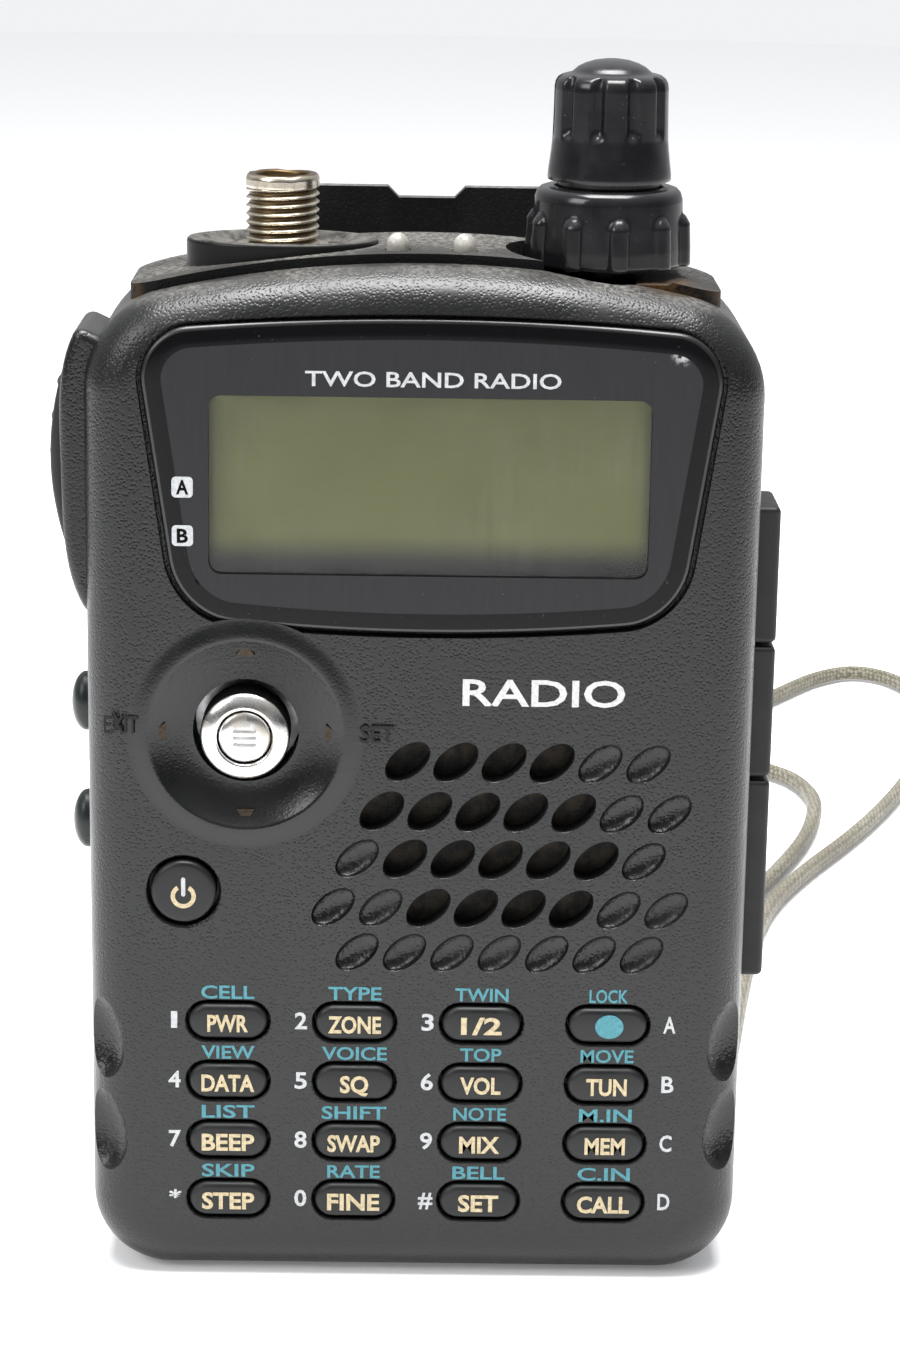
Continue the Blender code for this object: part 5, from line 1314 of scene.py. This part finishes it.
def makePower():
    x, z, radius, front = power["x"], power["z"], power["radius"], -power["front"]
    cap = [
        (0, 12.6 * mm), (radius + 0.7 * mm, 12.6 * mm), (radius + 0.7 * mm, 12.9 * mm), (radius, 12.9 * mm),
        (radius, front - 0.55 * mm)
    ]
    for i in range(1, 6):
        turn = math.pi / 2 * i / 5
        cap.append((radius - 0.5 * mm * (1 - math.cos(turn)), front - 0.55 * mm + 0.5 * mm * math.sin(turn)))
    cap += [(radius * 0.6, front - 0.02 * mm), (0, front)]
    piece(
        spun("power_cap", cap, (x, 0, z), True, 64), keyRubber, "power", "key_rubber", "power_button", angle=45
    )
    work = bmesh.new()
    inner, outer, lower = 0.72 * mm, 1.1 * mm, z - 0.35 * mm
    angles = [math.radians(90 + 32 + (360 - 64) * i / 40) for i in range(41)]
    path = [
        [work.verts.new((x + r * math.cos(a), -front - 0.03 * mm, lower + r * math.sin(a))) for a in angles]
        for r in (inner, outer)
    ]
    for i in range(40):
        work.faces.new((path[0][i], path[0][i + 1], path[1][i + 1], path[1][i]))
    made = bmesh.ops.extrude_face_region(work, geom=work.faces[:])
    moved = [item for item in made["geom"] if isinstance(item, bmesh.types.BMVert)]
    bmesh.ops.translate(work, verts=moved, vec=(0, 0.05 * mm, 0))
    piece(meshObject("power_ring", work), cream, "power", "key_rubber")
    bar = slab("power_bar", stadium((0, 0), 1.75 * mm, 0.36 * mm, 5), -front - 0.03 * mm, -front + 0.05 * mm)
    bar.data.transform(Matrix.Translation((x, 0, z + 0.5 * mm)) @ Matrix.Rotation(math.radians(90), 4, "Y"))
    piece(bar, white, "power", "key_rubber")


makeKeys()
makePower()
words(
    "front_word", [("RADIO", 2.3 * mm, (10.6 * mm, engraved, 55.0 * mm), 14.0 * mm, 0.015)], silver, body,
    "case_plastic", 0.02 * mm
)
print("keypad done")


# knobs

tuning = {"flutes": 10, "phase": 20, "depth": 0.55, "end": 101.2}
ring = {"radius": 6.5, "rib": 0.65, "ribs": 10, "phase": 5.7, "ribTop": 95.0}


def smoothstep(low, high, value):
    share = min(1, max(0, (value - low) / (high - low)))
    return share * share * (3 - 2 * share)


def tuningShape(angle, height, radius):
    if radius < 2 * mm:
        return 0
    turn = (angle - math.radians(tuning["phase"])) * tuning["flutes"] / math.tau
    share = abs(turn - round(turn)) * 2
    width = smoothstep(tuning["end"], tuning["end"] + 0.9, height / mm)
    scoop = max(0, 1 - (share / 0.42) ** 2)
    return -tuning["depth"] * mm * scoop * width * smoothstep(106.75, 106.3, height / mm)


def ringShape(angle, height, radius):
    if radius < 5 * mm:
        return 0
    turn = (angle - math.radians(ring["phase"])) * ring["ribs"] / math.tau
    offset = abs(turn - round(turn)) * math.tau / ring["ribs"] * ring["radius"]
    top = ring["ribTop"] - height / mm
    reach = 0.85
    if top < 0:
        return 0
    narrow = reach * math.sqrt(max(0, 1 - max(0, 1 - top / reach) ** 2))
    if offset > narrow:
        return 0
    return ring["rib"] * mm * math.sqrt(
        max(0, 1 - (offset / max(narrow, 1e-6)) ** 2)
    ) ** 0.8 * min(1, 0.35 + top / 1.2)


def fill(points, step):
    # extra points along a profile, so that no stretch is longer than a step
    dense = [points[0]]
    for (r0, h0), (r1, h1) in zip(points, points[1:]):
        splits = max(1, int(math.hypot(r1 - r0, h1 - h0) / step))
        dense += [(r0 + (r1 - r0) * k / splits, h0 + (h1 - h0) * k / splits) for k in range(1, splits + 1)]
    return dense


def makeKnobs():
    centre = (knobX, topRow, 0)
    knob = [(4.4, 96.95), (4.4, 97.75)] + [(5.28, 97.75), (5.33, 97.9), (5.3, 98.4)]
    knob += [
        (5.08, 100.2), (4.98, 101.2), (4.92, 104.0), (4.9, 105.6), (4.82, 106.05), (4.62, 106.4), (4.3, 106.6),
        (3.9, 106.72), (3.5, 106.8)
    ]
    knob += [(3.3, 106.95), (2.9, 107.3), (2.3, 107.6), (1.5, 107.85), (0.7, 107.97), (0, 108.0)]
    profile = scaled([(1.6, 102), (1.6, 96.95)] + knob)
    profile = [(0, 102 * mm)] + fill(profile, 0.25 * mm)
    piece(
        spun("tuning_cap", profile, centre, steps=200, shape=tuningShape), gloss, "tuning", "gloss_plastic",
        "tuning_knob", angle=60
    )
    lower = [
        (6.55, 90.6), (6.62, 90.75), (6.6, 92.0), (6.5, 94.0), (6.42, 95.5), (6.38, 96.2), (6.2, 96.75),
        (5.9, 97.05), (5.5, 97.18), (4.75, 97.2), (4.7, 97.1), (4.7, 96.8)
    ]
    profile = scaled([(1.8, 96.8), (1.8, 86), (3.2, 86), (3.2, 90.6)]) + fill(scaled(lower), 0.2 * mm)
    piece(
        spun("volume_cap", profile, centre, steps=240, shape=ringShape), gloss, "volume", "gloss_plastic",
        "volume_ring", angle=60
    )
    refinish(steel, "tuning_shaft", "encoder_body")


makeKnobs()
print("knobs done")


# aerial connector, its seat and the lamps

thread = {"pitch": 0.7056 * mm, "depth": 0.3 * mm, "low": 91.6 * mm, "high": 96.6 * mm}


def threadShape(angle, height, radius):
    if radius < 2.9 * mm:
        return 0
    within = smoothstep(thread["low"], thread["low"] + 0.3 * mm, height) * smoothstep(
        thread["high"] + 0.25 * mm, thread["high"], height
    )
    turn = height / thread["pitch"] - angle / math.tau
    wave = 0.5 - 0.5 * math.cos(math.tau * turn)
    return -thread["depth"] * wave ** 0.8 * within


def makeAerial():
    centre = (aerialX, topRow, 0)
    outer = [(3.175, 86), (3.175, 91.0), (3.1, 91.3), (3.175, 91.5)]
    wall = fill(scaled([(3.175, 91.5), (3.175, 97.45)]), 0.06 * mm)
    rim = [(3.08, 97.75), (2.9, 97.9), (2.5, 97.9), (2.35, 97.8), (2.3, 97.6), (2.3, 93.4), (0, 93.4)]
    profile = scaled([(0, 86)] + outer) + wall[1:] + scaled(rim)
    made = spun("connector_barrel", profile, centre, steps=96, shape=threadShape)
    for vertex in made.data.vertices:  # small dents in the worn rim
        if vertex.co.z > 97.3 * mm:
            vertex.co.z -= max(0, noise.noise(vertex.co * 700)) * 0.14 * mm
    piece(made, gold, body, "gold_plate", "antenna_connector", angle=60)
    nut = [(2.95, 91.2), (4.0, 91.2), (4.05, 91.3), (4.05, 91.75), (3.95, 91.85), (2.95, 91.85)]
    made = spun("connector_nut", scaled(nut), centre, steps=64)
    piece(made, gold, body, "gold_plate")
    refinish(plainWhite, "antenna_insulator")
    pin = [(0, 92), (0.45, 92), (0.45, 95.6), (0.3, 95.8), (0, 95.85)]
    piece(spun("connector_pin", scaled(pin), centre, steps=24), gold, body, "gold_plate")


def makeBezel():
    halfX, halfY = 8.3 * mm, 5.3 * mm
    rows = [
        (1.0, 86.9), (1.0, 92.0), (0.99, 92.22), (0.965, 92.36), (0.93, 92.4), (0.9, 92.36), (0.84, 92.18),
        (0.74, 91.86), (0.62, 91.62), (0.5, 91.5)
    ]
    rings = []
    for share, z in rows:
        if share > 0.84:
            outline = inset(ellipse((aerialX, topRow), halfX, halfY, 0, 96), (1 - share) * halfX * 0.8)
        else:
            mix = (share - 0.5) / 0.34
            long = 4.1 * mm + (halfX * 0.86 - 4.1 * mm) * mix
            short = 3.9 * mm + (halfY * 0.82 - 3.9 * mm) * mix
            outline = ellipse((aerialX, topRow), long, short, 0, 96)
        rings.append((outline, z * mm))
    rings.append((ellipse((aerialX, topRow), 3.4 * mm, 3.4 * mm, 0, 96), 91.45 * mm))
    rings.append((ellipse((aerialX, topRow), 3.4 * mm, 3.4 * mm, 0, 96), 86.9 * mm))
    made = loft("aerial_seat", rings, planPlane, closed=True)
    seat = Finish("seat_black", specular_ior_level=0.14)
    up = seat.facing(2)
    dusty = up.ramp(0.5, 0.98) * seat.noise(1.4 * mm, 4, 0.7, contrast=0.25) * 0.45
    seat.feed(
        base_color=seat.mix(dusty * 0.75, (0.008, 0.008, 0.008), (0.36, 0.34, 0.3)), roughness=0.3 + 0.5 * dusty
    )
    piece(made, seat, body, "gloss_plastic", "antenna_bezel", angle=60)


def makeLamps():
    lamp = lampFinish()
    for name, x in zip(("indicator_left", "indicator_right"), lamps["x"]):
        radius, rim = lamps["radius"], lamps["rim"]
        profile = scaled([(0, 87), (radius, 87), (radius, rim)])
        for i in range(1, 9):
            turn = math.pi / 2 * i / 8
            profile.append(
                (radius * mm * math.cos(turn) if i < 8 else 0, (rim + lamps["rise"] * math.sin(turn)) * mm)
            )
        dome = spun(name + "_dome", profile, (x, lamps["y"], 0), steps=40)
        piece(dome, lamp, body, "lamp", name, angle=60)


makeAerial()
makeBezel()
makeLamps()
print("top fittings done")


# jack cover, in three lengths, and the jacks behind it

cover = {
    "levels": (26.8, 45.4, 57.7, 70.1), "gap": 0.15, "x": (29.3 * mm, 31.2 * mm), "y": (-8 * mm, -0.6 * mm)
}


def makeCovers():
    foot, lowFold, highFold, top = cover["levels"]
    spans = (
        ("cover_anchor", body, lowFold, highFold), ("cover_upper", "flap_upper", highFold, top),
        ("cover_lower", "flap_lower", foot, lowFold),
    )
    for node, rides, low, high in spans:
        gapLow = 0 if low == foot else cover["gap"]
        gapHigh = 0 if high == top else cover["gap"]
        outline = box(*cover["y"], (low + gapLow) * mm, (high - gapHigh) * mm, 0.5 * mm)
        made = slab(node + "_strip", outline, *cover["x"], sidePlane, farEdge=0.55 * mm, steps=5)
        piece(made, rubber, rides, "rubber", node, angle=40)
    refinish(gloss, "dc_jack", "audio_jack")


def makeEyelet():
    made = copyOf("strap_eyelet", "strap_loop")
    rounded(made, 0.25 * mm, 3, 50)
    piece(made, steel, body, "steel", "strap_eyelet")


makeCovers()
makeEyelet()


# battery pack, latch and belt clip

pack = {
    "half": 28 * mm, "low": 0.0, "high": 84.2 * mm, "bow": 3.4 * mm, "corner": 6 * mm,
    "lid": (4.9 * mm, 5.7 * mm), "case": (6 * mm, 15 * mm)
}


def latchRecess():
    return slab("latch_recess", box(-6.8 * mm, 6.8 * mm, -2 * mm, 1.7 * mm, 0.2 * mm), 2.6 * mm, 9.7 * mm)


def makePack():
    outline = box(-pack["half"], pack["half"], pack["low"], pack["high"], pack["corner"], 10)
    outline = bowed(outline, pack["low"], pack["high"], pack["half"], 0, pack["bow"], 0)
    lid = slab("pack_lid", outline, pack["lid"][0], pack["lid"][1], nearEdge=0.2 * mm)
    cut(lid, [latchRecess()])
    piece(lid, case, "battery", "case_plastic", "battery_lid")
    near, far = pack["case"]
    edge = 4 * mm
    shellSteps = [(inset(outline, 0.2 * mm), near), (outline, near + 0.2 * mm)]
    for i in range(11):
        turn = math.pi / 2 * i / 10
        shellSteps.append((inset(outline, edge * (1 - math.cos(turn))), far - edge + edge * math.sin(turn)))
    made = loft("pack_shell", shellSteps)
    recess = [latchRecess()]
    for side in (-1, 1):  # finger grips at the foot
        recess.append(ball("grip", (side * 21 * mm, 15.6 * mm, 8 * mm), (5 * mm, 1.5 * mm, 6 * mm)))
    recess.append(slab("label_panel", box(-19 * mm, 19 * mm, 10 * mm, 62 * mm, 2 * mm), 14.8 * mm, 16 * mm))
    cut(made, recess)
    piece(made, case, "battery", "case_plastic", "battery_case")
    latch = copyOf("battery_latch", "pack_latch")
    rounded(latch, 0.2 * mm, 2)
    piece(latch, case, "latch", "case_plastic", "battery_latch")
    refinish(plainFinish("cell_wrap", (0.1, 0.2, 0.45), 0.35), "battery_cell")


def makeClip():
    clip = copyOf("belt_clip", "clip_tongue")
    rounded(clip, 0.35 * mm, 3, 40)
    piece(clip, case, "clip", "case_plastic", "belt_clip")
    bracket = copyOf("clip_bracket", "clip_holder")
    rounded(bracket, 0.25 * mm, 2, 40)
    piece(bracket, case, "battery", "case_plastic", "clip_bracket")
    refinish(steel, "clip_pin", "clip_spring")


def screw(name, x, y, z, radius, rides):
    # cross-head screw that faces the back
    profile = [(0, -0.6), (radius, -0.6), (radius, 0.0), (radius * 0.92, 0.22), (radius * 0.6, 0.42), (0, 0.5)]
    made = spun(name, scaled(profile), (0, 0, 0), True, 40)
    cross = []
    for wide, high in ((1.1, 0.3), (0.3, 1.1)):
        outline = box(
            -wide * radius * mm * 0.55, wide * radius * mm * 0.55, -high * radius * mm * 0.55,
            high * radius * mm * 0.55, 0.05 * mm, 2
        )
        cross.append(slab("cross", outline, -0.9 * mm, -0.12 * mm))
    cut(made, cross)
    made.data.transform(Matrix.Translation((x * mm, y * mm, z * mm)) @ Matrix.Rotation(math.pi, 4, "Z"))
    piece(made, steel, rides, "steel")


makePack()
makeClip()
for i, (x, z) in enumerate(((-24.3, 6), (24.3, 6), (-24.3, 58.5), (24.3, 58.5))):
    screw(f"case_screw_{i + 1}", x, 4.1, z, 1.5, body)
for i, x in enumerate((-6.5, 6.5)):
    screw(f"bracket_screw_{i + 1}", x, 16.05, 69, 1.2, "battery")
print("back done")


# pieces inside, which keep their CAD shape

refinish(plainWhite, "lcd_holder")
refinish(rubber, "keypad_mat")
refinish(steel, "speaker_frame")
refinish(plainFinish("board", (0.02, 0.13, 0.06), 0.4), "control_board", "main_board")
refinish(plainFinish("paper_cone", (0.03, 0.03, 0.03), 0.85), "speaker_cone")
refinish(clothFinish(), "speaker_cloth")
print("inside done")
